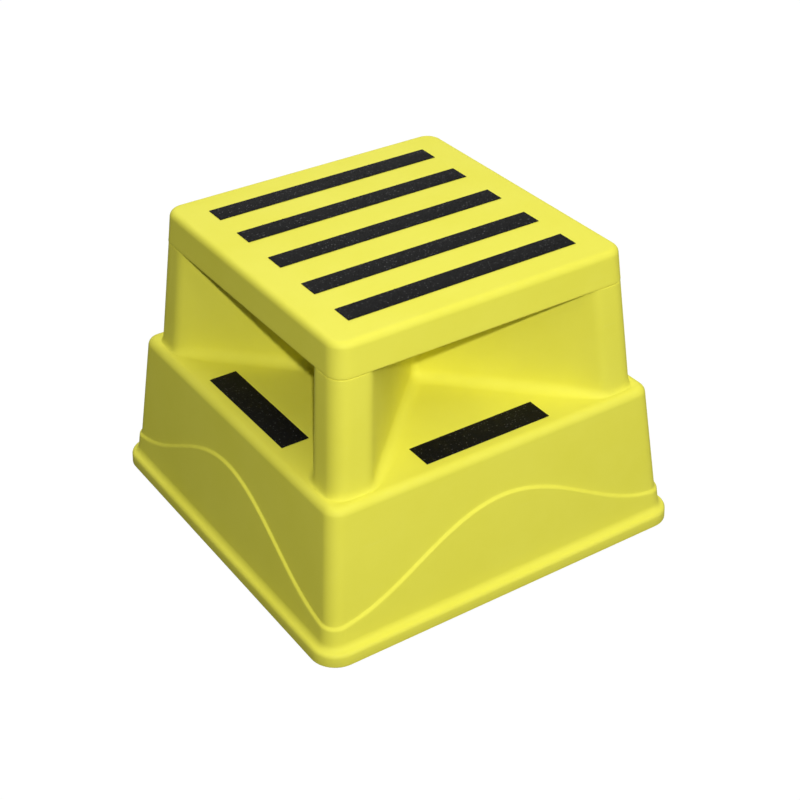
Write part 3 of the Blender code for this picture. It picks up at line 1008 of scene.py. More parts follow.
# --- Geometry trees -------------------------------------------------------------------------------
class GeometryTrees:
    """Geometry node trees for what repeats or follows a rule."""

    def __init__(self) -> None:
        """Builds the trees."""
        self.wave = self._wave()
        self.crossed_ribs = self._crossed_ribs()
        self.ribs_round_sides = self._ribs_round_sides()
        self.grit = self._grit()

    @staticmethod
    def _start(name: str, takes: Mapping[str, Tuple[str, object]]
               ) -> Tuple[Sheet, bpy.types.Node, bpy.types.Node]:
        """Starts a tree that takes and gives a mesh.

        Args:
            name: the tree's name.
            takes: its inputs besides the mesh and the material.

        Returns:
            The tree's sheet, its input node and its output node.
        """
        sockets = {"Geometry": ("Geometry", None), **takes, "Material": ("Material", None)}
        return new_group(name, "GeometryNodeTree", sockets, {"Geometry": "Geometry"})

    @staticmethod
    def _row(sheet: Sheet, got: Mapping[str, bpy.types.NodeSocket], axis: int,
             height: object = 0.0) -> bpy.types.NodeSocket:
        """Count points in a row, Pitch apart, with their middle on the upright axis.

        Args:
            sheet: the tree's sheet.
            got: its inputs.
            axis: the way the row runs, 0 or 1.
            height: how high it lies.

        Returns:
            The socket that holds the points.
        """
        bays = sheet.math("SUBTRACT", got["Count"], 1.0)
        half = sheet.math("MULTIPLY", sheet.math("MULTIPLY", bays, -0.5), got["Pitch"])
        start = sheet.add("ShaderNodeCombineXYZ", {axis: half, 2: height})
        step = sheet.add("ShaderNodeCombineXYZ", {axis: got["Pitch"]})
        wires = {"Count": got["Count"], "Start Location": start.outputs[0], "Offset": step.outputs[0]}
        return sheet.add("GeometryNodeMeshLine", wires, mode="OFFSET").outputs[0]

    @staticmethod
    def _finish(sheet: Sheet, parts: Sequence[bpy.types.NodeSocket], given: bpy.types.Node,
                made: bpy.types.Node) -> None:
        """Ends a tree: joins its parts, makes copies real and sets their material.

        Args:
            sheet: the tree's sheet.
            parts: the geometry sockets to join.
            given: the tree's input node.
            made: the tree's output node.
        """
        joined = sheet.add("GeometryNodeJoinGeometry")
        for part in parts:
            sheet.wire(part, joined.inputs[0])
        real = sheet.add("GeometryNodeRealizeInstances", {0: joined.outputs[0]})
        painted = sheet.add("GeometryNodeSetMaterial",
                            {0: real.outputs[0], "Material": given.outputs["Material"]})
        sheet.wire(painted.outputs[0], made.inputs[0])

    def _wave(self) -> bpy.types.NodeTree:
        """Pushes the wall out under the wavy line that its mesh marks.

        Returns:
            The tree.
        """
        sheet, given, made = self._start("raise_wave_panel", {"Proud": ("Float", 0.002),
                                                              "Softness": ("Float", 0.0015)})
        below = sheet.add("GeometryNodeInputNamedAttribute", {"Name": "below_wave"}, data_type="FLOAT")
        outward = sheet.add("GeometryNodeInputNamedAttribute", {"Name": "outward"}, data_type="FLOAT_VECTOR")
        soft = given.outputs["Softness"]
        share = sheet.ramp(below.outputs[0], sheet.math("MULTIPLY", soft, -1.0), soft)
        reach = sheet.math("MULTIPLY", share, given.outputs["Proud"])
        push = sheet.add("ShaderNodeVectorMath", {0: outward.outputs[0], "Scale": reach}, operation="SCALE")
        moved = sheet.add("GeometryNodeSetPosition", {0: given.outputs[0], "Offset": push.outputs[0]})
        self._finish(sheet, [moved.outputs[0]], given, made)
        return sheet.tree

    def _crossed_ribs(self) -> bpy.types.NodeTree:
        """Adds two sets of parallel ribs, one across the other, each thinner at its lower edge.

        Returns:
            The tree.
        """
        sheet, given, made = self._start("crossed_ribs", {
            "Count": ("Int", 7), "Pitch": ("Float", 0.04), "Length": ("Float", 0.3),
            "Thickness": ("Float", 0.0025), "Edge Share": ("Float", 0.8), "Low": ("Float", 0.0),
            "High": ("Float", 0.02)})
        got = given.outputs
        tall = sheet.math("SUBTRACT", got["High"], got["Low"])
        size = sheet.add("ShaderNodeCombineXYZ", {0: got["Length"], 1: got["Thickness"], 2: tall})
        bar = sheet.add("GeometryNodeMeshCube", {0: size.outputs[0]})
        place = sheet.add("ShaderNodeSeparateXYZ", {0: sheet.add("GeometryNodeInputPosition").outputs[0]})
        lower = sheet.math("LESS_THAN", place.outputs[2], 0.0)
        thin = sheet.math("MULTIPLY", sheet.math("SUBTRACT", got["Edge Share"], 1.0), lower)
        shift = sheet.add("ShaderNodeCombineXYZ", {1: sheet.math("MULTIPLY", place.outputs[1], thin)})
        bar = sheet.add("GeometryNodeSetPosition", {0: bar.outputs[0], "Offset": shift.outputs[0]})
        flat = sheet.add("GeometryNodeSetShadeSmooth", {0: bar.outputs[0], "Shade Smooth": False})
        middle = sheet.math("MULTIPLY", sheet.math("ADD", got["High"], got["Low"]), 0.5)
        ribs = sheet.add("GeometryNodeInstanceOnPoints", {"Points": self._row(sheet, got, 1, middle),
                                                          "Instance": flat.outputs[0]})
        across = sheet.add("GeometryNodeTransform", {0: ribs.outputs[0], "Rotation": (0.0, 0.0, QUARTER)})
        self._finish(sheet, [got["Geometry"], ribs.outputs[0], across.outputs[0]], given, made)
        return sheet.tree

    def _ribs_round_sides(self) -> bpy.types.NodeTree:
        """Adds copies of one rib side by side, and the same again on every side.

        Returns:
            The tree.
        """
        sheet, given, made = self._start("ribs_round_sides", {
            "Rib": ("Object", None), "Count": ("Int", 1), "Pitch": ("Float", 0.07), "Sides": ("Int", 4)})
        got = given.outputs
        rib = sheet.add("GeometryNodeObjectInfo", {"Object": got["Rib"]})
        side = sheet.add("GeometryNodeInstanceOnPoints", {"Points": self._row(sheet, got, 0),
                                                          "Instance": rib.outputs["Geometry"]})
        hub = sheet.add("GeometryNodeMeshLine", {"Count": got["Sides"], "Offset": (0.0, 0.0, 0.0)},
                        mode="OFFSET")
        number = sheet.add("GeometryNodeInputIndex").outputs[0]
        turn = sheet.math("DIVIDE", sheet.math("MULTIPLY", number, math.tau), got["Sides"])
        angles = sheet.add("ShaderNodeCombineXYZ", {2: turn})
        rotation = sheet.add("FunctionNodeEulerToRotation", {0: angles.outputs[0]})
        sides = sheet.add("GeometryNodeInstanceOnPoints",
                          {"Points": hub.outputs[0], "Instance": side.outputs[0],
                           "Rotation": rotation.outputs[0]})
        self._finish(sheet, [got["Geometry"], sides.outputs[0]], given, made)
        return sheet.tree

    def _grit(self) -> bpy.types.NodeTree:
        """Strews angular grains over the top of a strip.

        Returns:
            The tree.
        """
        sheet, given, made = self._start("grit_grains", {
            "Spacing": ("Float", 0.001), "Grain": ("Float", 0.0005), "Seed": ("Int", 1)})
        got = given.outputs
        upright = sheet.add("ShaderNodeSeparateXYZ", {0: sheet.add("GeometryNodeInputNormal").outputs[0]})
        top = sheet.math("GREATER_THAN", upright.outputs[2], 0.9)
        most = sheet.math("DIVIDE", 1.5, sheet.math("MULTIPLY", got["Spacing"], got["Spacing"]))
        spots = sheet.add("GeometryNodeDistributePointsOnFaces",
                          {"Mesh": got["Geometry"], "Selection": top, "Distance Min": got["Spacing"],
                           "Density Max": most, "Seed": got["Seed"]}, distribute_method="POISSON")
        grain = sheet.add("GeometryNodeMeshUVSphere", {"Segments": 5, "Rings": 2, "Radius": got["Grain"]})
        flat = sheet.add("GeometryNodeSetShadeSmooth", {0: grain.outputs[0], "Shade Smooth": False})
        spin = sheet.add("FunctionNodeRandomValue", {0: (0.0, 0.0, 0.0), 1: (math.tau,) * 3,
                                                     "Seed": got["Seed"]}, data_type="FLOAT_VECTOR")
        size = sheet.add("FunctionNodeRandomValue", {0: (0.6, 0.6, 0.4), 1: (1.25, 1.1, 0.9), "Seed": 7},
                         data_type="FLOAT_VECTOR")
        turn = sheet.add("FunctionNodeEulerToRotation", {0: spin.outputs[0]})
        grains = sheet.add("GeometryNodeInstanceOnPoints",
                           {"Points": spots.outputs[0], "Instance": flat.outputs[0],
                            "Rotation": turn.outputs[0], "Scale": size.outputs[0]})
        self._finish(sheet, [got["Geometry"], grains.outputs[0]], given, made)
        return sheet.tree


# --- The two mouldings ----------------------------------------------------------------------------
@dataclass
class BaseMoulding:
    """The base: rim, flared wall with its wave, tread, and the X of posts and webs.

    wave_rows are the rows of points across the wave's edge, in steps of its softness. near_flare and
    near_edge are how close the wall's first and last rows come to the flare and the rounded edge,
    and tread_rows and post_rows are where the tread and the posts have theirs.
    """

    sizes: StepSizes
    trees: GeometryTrees
    plan: RingPlan = RingPlan()
    lip: float = 0.8 * MM
    rim_side: float = 10.4 * MM
    rim_taper: float = math.radians(2.7)
    rim_corner: float = 29.0 * MM
    bead: float = 5.0 * MM
    bead_turn: float = math.radians(72)
    worn_turn: Tuple[float, float] = (0.3, 0.95)
    fillet_rise: float = 6.0 * MM
    wall_corner: float = 16.0 * MM
    edge: float = 9.5 * MM
    wave_softness: float = 1.9 * MM
    wave_rows: Tuple[float, ...] = (-2.4, -1.25, -0.9, -0.6, -0.3, 0.0, 0.3, 0.6, 0.9, 1.25, 2.4)
    near_edge: float = 1.5 * MM
    near_flare: float = 0.6 * MM
    post_corner: float = 18.5 * MM
    post_arris: float = 17.0 * MM
    niche_root: float = 10.0 * MM
    post_fillet: float = 7.5 * MM
    post_reach: float = 2.4 * MM
    niche_fillet: float = 12.0 * MM
    tread_rows: Tuple[float, float] = (0.12, 0.88)
    post_rows: Tuple[float, ...] = (16.0 * MM, 60.0 * MM)
    post_end: float = 2.0 * MM
    shoulder: float = 0.6 * MM
    least_arris: float = 1.2 * MM
    spigot_step: float = 2.0 * MM
    spigot_corner: float = 15.0 * MM
    skirt_depth: float = 18.0 * MM
    rib_thickness: float = 3.0 * MM
    rib_lift: float = 1.0 * MM
    rib_pitch: float = 70.0 * MM
    foot_hole: float = 5.0 * MM
    corner_web_low: float = 7.8 * MM
    corner_web_reach: float = 26.0 * MM

    def _flare(self) -> List[Tuple[float, float, float]]:
        """The rim's section from its lower edge to the wall.

        Returns:
            Half width, height and the angle of the outward normal above level, for each point.
        """
        s = self.sizes
        taper, turn, draft = self.rim_taper, self.bead_turn, s.base_draft
        low = s.rim_z
        points = []
        for angle in sweep(-QUARTER, taper, 3):
            points.append((s.rim_half - self.lip * (1 - math.cos(angle)),
                           low + self.lip * (1 + math.sin(angle)), angle))
        side_z = low + self.rim_side
        side = s.rim_half - self.rim_side * math.tan(taper)
        centre = (side - self.bead * math.cos(taper), side_z - self.bead * math.sin(taper))
        for angle in sweep(taper, turn, 6):
            points.append((centre[0] + self.bead * math.cos(angle),
                           centre[1] + self.bead * math.sin(angle), angle))
        half, height = points[-1][:2]
        foot = s.wall_at(height) + s.wave_proud
        radius = (half - foot) / (math.cos(draft) - math.cos(turn)
                                  - math.tan(draft) * (math.sin(turn) - math.sin(draft)))
        hub = (half + radius * math.cos(turn), height + radius * math.sin(turn))
        for angle in sweep(turn, draft, 6)[1:]:
            points.append((hub[0] - radius * math.cos(angle), hub[1] - radius * math.sin(angle), angle))
        return points

    def _edge_hub(self) -> Tuple[float, float]:
        """Half width and height of the centre of the tread's rounded edge."""
        height = self.sizes.tread_z - self.edge
        return self.sizes.wall_at(height) - self.edge / math.cos(self.sizes.base_draft), height

    def _flare_corner(self, half: float, top_half: float) -> float:
        """Corner radius of the rim at a half width, so that it runs into the wall's own."""
        share = (self.sizes.rim_half - half) / (self.sizes.rim_half - top_half)
        return self.rim_corner + (self.wall_corner + self.sizes.wave_proud - self.rim_corner) * share

    def _cross(self, skin: Skin, height: float, inset: float = 0.0, half: Optional[float] = None,
               web: Optional[float] = None, corner: Optional[float] = None) -> None:
        """Lays one level X outline on a skin.

        Args:
            skin: the skin.
            height: the outline's height.
            inset: how far inside the outer faces it lies.
            half, web, corner: its sizes where they aren't the posts' own at that height.
        """
        s = self.sizes
        half = s.post_at(height) if half is None else half
        web = s.web_at(height) if web is None else web
        corner = self.post_corner if corner is None else corner
        skin.lay(self.plan.close(self.plan.cross(
            half - inset, web - inset * math.sqrt(2), height, corner - inset,
            max(self.post_arris - inset, self.least_arris), self.niche_root + inset)))

    def _spigot(self, skin: Skin, height: float, inset: float = 0.0) -> None:
        """Lays one level outline of the spigot on a skin.

        Args:
            skin: the skin.
            height: the outline's height.
            inset: how far inside the outer faces it lies.
        """
        s = self.sizes
        half = s.skirt_at(s.spigot_z) - s.wall - s.spigot_play
        web = s.web_at(s.post_top) - self.spigot_step * math.sqrt(2)
        self._cross(skin, height, inset, half, web, self.spigot_corner)

    def _inside(self, skin: Skin) -> None:
        """Lays the inner face, from the ceiling of the spigot down to the rim's lower edge.

        Args:
            skin: the moulding's skin.
        """
        s = self.sizes
        wall = s.wall
        top = s.post_top - wall
        for height in (s.spigot_z - wall, top):
            self._spigot(skin, height, wall)
        foot = s.tread_z - wall - self.skirt_depth
        for height in (top, foot):
            self._cross(skin, height, wall)
        for height in (foot, s.tread_z - wall):
            self._cross(skin, height)
        skin.rounding(self._edge_hub(), self.edge - wall, self.wall_corner - self.edge,
                      sweep(QUARTER, s.base_draft, 6))
        flare = self._flare()
        top_half = flare[-1][0]
        for half, height, angle in reversed(flare[3:]):
            corner = self._flare_corner(half, top_half) - wall * math.cos(angle)
            skin.square(half - wall * math.cos(angle), corner, height - wall * math.sin(angle))
        skin.square(s.rim_half - wall, self.rim_corner - wall, s.rim_z)

    def _outside(self, skin: Skin) -> None:
        """Lays the rim, the wall with its wave, and the rounded edge of the tread.

        Args:
            skin: the moulding's skin.
        """
        s = self.sizes
        flare = self._flare()
        top_half, top_z = flare[-1][0], flare[-1][1]
        first_worn, last_worn = self.worn_turn
        for half, height, angle in flare:
            worn = 1.0 if first_worn < angle < last_worn and height < top_z - self.fillet_rise else 0.0
            skin.square(half, self._flare_corner(half, top_half), height, worn)
        hub = self._edge_hub()
        last = hub[1] + self.edge * math.sin(s.base_draft) - self.near_edge
        first = top_z + self.near_flare
        reach = self.wave_softness * self.wave_rows[-1]
        rules: List[Callable[[float], float]] = [
            lambda x, f=f: first + f * (s.wave_at(x) - reach - first) for f in (0.0, 0.35, 0.7)]
        rules += [lambda x, f=f: s.wave_at(x) + f * self.wave_softness for f in self.wave_rows]
        rules += [lambda x, f=f: s.wave_at(x) + reach + f * (last - reach - s.wave_at(x))
                  for f in (0.3, 0.6, 1.0)]
        for rule in rules:
            middle = s.wall_at(rule(0.1))
            eighth = self.plan.square(middle, self.wall_corner, rule, s.wall_at)
            skin.lay(self.plan.close(eighth), 0.0, s.wave_at)
        skin.rounding(hub, self.edge, self.wall_corner - self.edge, sweep(s.base_draft, QUARTER, 10), rubbed)

    def _foot(self, share: float) -> Ring:
        """One ring of the fillet between the tread and the X, from 0 on the tread to 1 on the walls.

        Args:
            share: how far up the fillet's arc.

        Returns:
            The whole ring.
        """
        s = self.sizes
        angle = QUARTER * share
        out, rise = 1 - math.sin(angle), 1 - math.cos(angle)
        outer, deep = self.post_reach * out, self.niche_fillet * out
        low, high = s.tread_z + self.post_fillet * rise, s.tread_z + self.niche_fillet * rise
        half = s.post_at(low) + outer
        near = self.plan.cross(half, s.web_at(low) + outer * math.sqrt(2), low, self.post_corner + outer,
                               self.post_arris + outer, self.niche_root)
        far = self.plan.cross(half, s.web_at(high) + deep * math.sqrt(2), high, self.post_corner + outer,
                              self.post_arris + outer, self.niche_root)
        return self.plan.close([a.lerp(b, f) for a, b, f in zip(near, far, self.plan.shares)])

    def _upper(self, skin: Skin) -> None:
        """Lays the tread, the fillet at the foot of the X, its walls, the shoulder and the spigot.

        Args:
            skin: the moulding's skin.
        """
        s = self.sizes
        rim, foot = skin.rings[-1], self._foot(0.0)
        for share in self.tread_rows:
            skin.lay([a.lerp(b, share) for a, b in zip(rim, foot)])
        for step in range(9):
            skin.lay(self._foot(step / 8))
        for rise in self.post_rows:
            self._cross(skin, s.tread_z + rise)
        self._cross(skin, s.post_top - self.post_end)
        for angle in sweep(0.0, QUARTER, 3):
            height = s.post_top - self.shoulder * (1 - math.sin(angle))
            self._cross(skin, height, self.shoulder * (1 - math.cos(angle)))
        for height in (s.post_top, s.spigot_z - self.shoulder):
            self._spigot(skin, height)
        self._spigot(skin, s.spigot_z, self.shoulder)

    def _corner_webs(self) -> List[bpy.types.Object]:
        """Flat plates across the rim's corners, each with the hole that holds a foot.

        Returns:
            The four plates.
        """
        s = self.sizes
        low, high = self.corner_web_low, self.corner_web_low + s.wall
        half = s.rim_half - s.wall / 2
        radius = self.rim_corner - s.wall / 2
        line = s.foot_centre * math.sqrt(2) - self.corner_web_reach
        start = line * math.sqrt(2) - half
        corner = [(half - radius + x, half - radius + y) for x, y in arc((0.0, 0.0), radius, 0, 90, 10)]
        outline = [(half, start)] + corner + [(start, half)]
        hole = arc((s.foot_centre, s.foot_centre), self.foot_hole, 0, 345, 23)
        loops = [[Vector((x, y, 0.0)) for x, y in outline], [Vector((x, y, 0.0)) for x, y in hole]]
        flat = geometry.tessellate_polygon(loops)
        plates = []
        for side in Side:
            turn = Matrix.Rotation(QUARTER * side.value, 4, "Z")
            bm = bmesh.new()
            levels = [[bm.verts.new((p.x, p.y, z)) for loop in loops for p in loop] for z in (low, high)]
            for level in levels:
                for triangle in flat:
                    bm.faces.new([level[i] for i in triangle])
            first = 0
            for loop in loops:
                for i in range(len(loop)):
                    a, b = first + i, first + (i + 1) % len(loop)
                    bm.faces.new((levels[0][a], levels[0][b], levels[1][b], levels[1][a]))
                first += len(loop)
            bmesh.ops.transform(bm, matrix=turn, verts=bm.verts)
            bmesh.ops.recalc_face_normals(bm, faces=bm.faces)
            plates.append(dress_solid("corner_web", bm, 30.0))
        return plates

    def _rib(self, along: float) -> bpy.types.Object:
        """One stiffening rib under the front tread, in the middle of its side.

        Args:
            along: how far from the middle of the side it will stand.

        Returns:
            The rib.
        """
        s = self.sizes
        low = s.tread_z - s.wall - self.skirt_depth + self.rib_lift
        inner = along + s.web_at(low) - s.wall / 2
        reach = self.edge - s.wall / 2
        outline = [(inner, low), (s.wall_at(low) - s.wall / 2, low)]
        outline += arc(self._edge_hub(), reach, math.degrees(s.base_draft), 90, 6)
        outline.append((inner, s.tread_z - s.wall / 2))
        half = self.rib_thickness / 2

        def place(out: float, height: float, depth: float) -> Vector:
            """Puts an outline point under the front tread."""
            return Vector((depth, -out, height))

        return prism("tread_rib", outline, -half, half, place)

    def build(self, plastic: bpy.types.Material) -> bpy.types.Object:
        """Builds the moulding.

        Args:
            plastic: its material.

        Returns:
            The finished moulding.
        """
        s = self.sizes
        skin = Skin("base_moulding", self.plan)
        self._inside(skin)
        self._outside(skin)
        self._upper(skin)
        item = skin.build(s.screw_places, s.screw_hole, 38.0)
        run_tree(item, self.trees.wave, {"Proud": s.wave_proud, "Softness": self.wave_softness,
                                         "Material": plastic})
        join(item, self._corner_webs())
        for along, count in ((0.0, 1), (self.rib_pitch, 2)):
            rib = self._rib(along)
            run_tree(item, self.trees.ribs_round_sides,
                     {"Rib": rib, "Count": count, "Pitch": 2 * self.rib_pitch, "Sides": len(Side),
                      "Material": plastic})
            bpy.data.objects.remove(rib)
        return hand_over(item, plastic, "base_body")


@dataclass
class PlatformMoulding:
    """The platform: a plate with a skirt, crossed ribs and four screw bosses under it.

    skirt_row and top_row are where the skirt and the top have rows of points. near_edge and
    near_ceiling are how close others come to the rounded edges outside and inside. overlap is how
    far ribs and bosses run into the plate. rib_end is how far short of the skirt's outer face the
    ribs end, as a share of its wall.
    """

    sizes: StepSizes
    trees: GeometryTrees
    plan: RingPlan = RingPlan(hollow=1, web=7, arris=1, face=2, corner=6)
    corner: float = 19.0 * MM
    edge: float = 7.5 * MM
    lip: float = 1.1 * MM
    lip_wear: float = 0.5
    plate: float = 5.0 * MM
    skirt_row: float = 4.0 * MM
    near_edge: float = 1.5 * MM
    near_ceiling: float = 1.0 * MM
    top_row: float = 20.0 * MM
    rib_bays: int = 6
    rib_thickness: float = 2.5 * MM
    rib_end: float = 0.8
    boss: float = 6.4 * MM
    overlap: float = 0.5 * MM

    def _shell(self) -> bpy.types.Object:
        """The plate and its skirt, laid from the middle of the ceiling round to the middle of the top.

        Returns:
            The shell.
        """
        s = self.sizes
        skin = Skin("platform_moulding", self.plan)
        draft, wall, foot = s.platform_draft, s.wall, s.skirt_z
        ceiling = s.platform_z - self.plate
        reach = self.edge - wall
        low = ceiling - reach
        hub = s.skirt_at(low) - wall - reach / math.cos(draft)
        skin.square(hub - self.near_ceiling, self.corner - self.edge, ceiling)
        skin.rounding((hub, low), reach, self.corner - self.edge, sweep(QUARTER, draft, 5))
        for inset, rise in ((wall, self.lip / 2), (wall - self.lip / 2, 0.0)):
            skin.square(s.skirt_at(foot) - inset, self.corner - inset, foot + rise)
        skin.rounding((s.skirt_at(foot) - self.lip, foot + self.lip), self.lip, self.corner - self.lip,
                      sweep(-QUARTER, draft, 4), lambda angle: self.lip_wear)
        centre = s.platform_z - self.edge
        hub = s.skirt_at(centre) - self.edge / math.cos(draft)
        for height in (foot + self.skirt_row, centre - self.near_edge):
            skin.square(s.skirt_at(height), self.corner, height)
        skin.rounding((hub, centre), self.edge, self.corner - self.edge, sweep(draft, QUARTER, 10), rubbed)
        for inset in (self.near_edge, self.top_row):
            skin.square(hub - inset, self.corner - self.edge, s.platform_z)
        return skin.build(sharp=38.0)

    def _bosses(self, low: float, high: float) -> List[bpy.types.Object]:
        """The screw bosses, each a tube with a softened mouth.

        Args:
            low, high: heights of a boss's two ends.

        Returns:
            The four bosses.
        """
        bore, outer = self.sizes.screw_hole, self.boss
        profile = [(bore, low + 0.4 * MM), (bore + 0.4 * MM, low), (outer - 0.5 * MM, low),
                   (outer, low + 0.5 * MM), (outer, high), (bore, high)]
        return [lathe("screw_boss", profile, place, 36) for place in self.sizes.screw_places]

    def build(self, plastic: bpy.types.Material) -> bpy.types.Object:
        """Builds the moulding.

        Args:
            plastic: its material.

        Returns:
            The finished moulding.
        """
        s = self.sizes
        item = self._shell()
        low, high = s.spigot_z + CLEARANCE, s.platform_z - self.plate + self.overlap
        run_tree(item, self.trees.crossed_ribs,
                 {"Count": self.rib_bays + 1, "Pitch": 2 * s.screw_centre / self.rib_bays,
                  "Length": 2 * (s.skirt_at(low) - self.rib_end * s.wall), "Thickness": self.rib_thickness,
                  "Low": low, "High": high, "Material": plastic})
        join(item, self._bosses(low, high))
        return hand_over(item, plastic, "platform")


# --- Strips, fasteners and feet -------------------------------------------------------------------
@dataclass
class GripStrips:
    """Black grit strips on the platform and on the four treads."""

    trees: GeometryTrees
    backing: float = 0.55
    edge: float = 0.18 * MM
    spacing: float = 1.0 * MM
    grain: float = 0.46 * MM
    laid: Dict[str, Tuple[float, float]] = field(default_factory=lambda: {
        "platform_grip_1": (-0.5, -0.1), "platform_grip_2": (-1.1, -2.3), "platform_grip_3": (-1.3, -0.5),
        "platform_grip_4": (-1.1, 1.2), "platform_grip_5": (-1.2, -1.2),
        "tread_grip_front": (-1.4, -1.2), "tread_grip_left": (-0.6, -1.8)})

    def build(self, grit: bpy.types.Material) -> List[bpy.types.Object]:
        """Builds every strip.

        Args:
            grit: the strips' material.

        Returns:
            The strips.
        """
        names = ["platform_grip_%d" % number for number in range(1, 6)]
        names += ["tread_grip_" + side.name.lower() for side in Side]
        return [self._strip(name, seed, grit) for seed, name in enumerate(names, 1)]

    def _strip(self, node: str, seed: int, grit: bpy.types.Material) -> bpy.types.Object:
        """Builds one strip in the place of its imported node, as far off as a hand laid it.

        Args:
            node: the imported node's name.
            seed: seed for its grains.
            grit: the material.

        Returns:
            The strip.
        """
        shift = Vector((*self.laid.get(node, (0.0, 0.0)), 0.0)) * MM
        low, high = (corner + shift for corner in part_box(node))
        top = low.z + self.backing * (high.z - low.z)
        bm = bmesh.new()
        bmesh.ops.create_cube(bm, size=1.0)
        for vert in bm.verts:
            vert.co = Vector((high.x if vert.co.x > 0 else low.x, high.y if vert.co.y > 0 else low.y,
                              top if vert.co.z > 0 else low.z))
        rim = [e for e in bm.edges if all(abs(v.co.z - top) < 1e-6 for v in e.verts)]
        bmesh.ops.bevel(bm, geom=rim, offset=self.edge, segments=2, affect="EDGES", profile=0.6)
        item = dress_solid(node + "_looks", bm, 30.0)
        run_tree(item, self.trees.grit, {"Spacing": self.spacing, "Grain": self.grain, "Seed": seed,
                                         "Material": grit})
        return hand_over(item, grit, node)


@dataclass
class Fasteners:
    """The screws that hold the platform down, and their washers."""

    pitch: float = 1.4 * MM
    thread: float = 0.45 * MM
    steps: int = 24
    rows_to_a_turn: int = 6
    recess_depth: float = 1.5 * MM
    recess_width: float = 0.9 * MM
    head_height: float = 2.6 * MM
    shank: float = 1.6 * MM
    tip: float = 2.4 * MM
    point: float = 0.12
    plain_neck: float = 1.0 * MM
    crest_slope: float = 3.2
    tip_crest: float = 0.3
    washer_edge: float = 0.2 * MM

    def build(self, steel: bpy.types.Material) -> List[bpy.types.Object]:
        """Builds the screws and the washers.

        Args:
            steel: their material.

        Returns:
            The pieces.
        """
        pieces = []
        for number in range(1, 5):
            pieces.append(self._screw("platform_screw_%d" % number, steel))
            pieces.append(self._washer("platform_washer_%d" % number, steel))
        return pieces

    def _screw(self, node: str, steel: bpy.types.Material) -> bpy.types.Object:
        """Builds one pan-head screw with a cut thread and a cross recess.

        Args:
            node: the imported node's name.
            steel: the material.

        Returns:
            The screw.
        """
        low, high, centre = axis_box(node)
        head = (high.x - low.x) / 2
        neck = low.z + self.head_height
        profile = [(0.0, low.z), (0.55 * head, low.z + 0.1 * MM), (0.82 * head, low.z + 0.5 * MM),
                   (0.97 * head, low.z + 1.2 * MM), (head, low.z + 2.0 * MM), (0.98 * head, neck)]
        rows: List[List[Tuple[float, float]]] = [[point] * self.steps for point in profile]
        tip = high.z - self.tip
        height = neck + 0.01 * MM
        while height < high.z:
            row = []
            for step in range(self.steps):
                turn = ((height - neck) / self.pitch - step / self.steps) % 1.0
                crest = max(0.0, 1 - abs(turn - 0.5) * self.crest_slope)
                if height <= neck + self.plain_neck:
                    crest = 0.0
                body = self.shank - self.thread
                if height > tip:
                    body *= max(self.point, 1 - (height - tip) / (high.z - tip))
                    crest *= self.tip_crest
                row.append((body + self.thread * crest, height))
            rows.append(row)
            height += self.pitch / self.rows_to_a_turn
        rows.append([(0.0, high.z)] * self.steps)
        item = dress_solid(node + "_looks", turned(rows, centre), 35.0)
        self._cut_recess(item, centre, low.z, head)
        return hand_over(item, steel, node)

    def _cut_recess(self, item: bpy.types.Object, centre: Vector, low: float, head: float) -> None:
        """Cuts a cross into the underside of a screw's head.

        Args:
            item: the screw.
            centre: its axis.
            low: height of the head's lowest point.
            head: the head's radius.
        """
        wide, reach = self.recess_width / 2, 0.62 * head
        outline = []
        for turn in range(4):
            for x, y in ((wide, wide), (wide, reach), (-wide, reach)):
                place = centre + Matrix.Rotation(QUARTER * turn, 3, "Z") @ Vector((x, y, 0.0))
                outline.append((place.x, place.y))
        cutter = prism("recess_cutter", outline, low - 1.0 * MM, low + self.recess_depth,
                       lambda x, y, z: Vector((x, y, z)))
        cut = item.modifiers.new("recess", "BOOLEAN")
        cut.operation, cut.object, cut.solver = "DIFFERENCE", cutter, "EXACT"
        keep_result(item)
        bpy.data.objects.remove(cutter)

    def _washer(self, node: str, steel: bpy.types.Material) -> bpy.types.Object:
        """Builds one washer with softened edges.

        Args:
            node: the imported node's name.
            steel: the material.

        Returns:
            The washer.
        """
        low, high, centre = axis_box(node)
        outer, bore, soft = (high.x - low.x) / 2, SCREW_HOLE, self.washer_edge
        profile = [(bore, low.z + soft), (bore + soft, low.z),
                   (outer - soft, low.z), (outer, low.z + soft),
                   (outer, high.z - soft), (outer - soft, high.z),
                   (bore + soft, high.z), (bore, high.z - soft)]
        return hand_over(lathe(node + "_looks", profile, centre, 40, 50.0), steel, node)


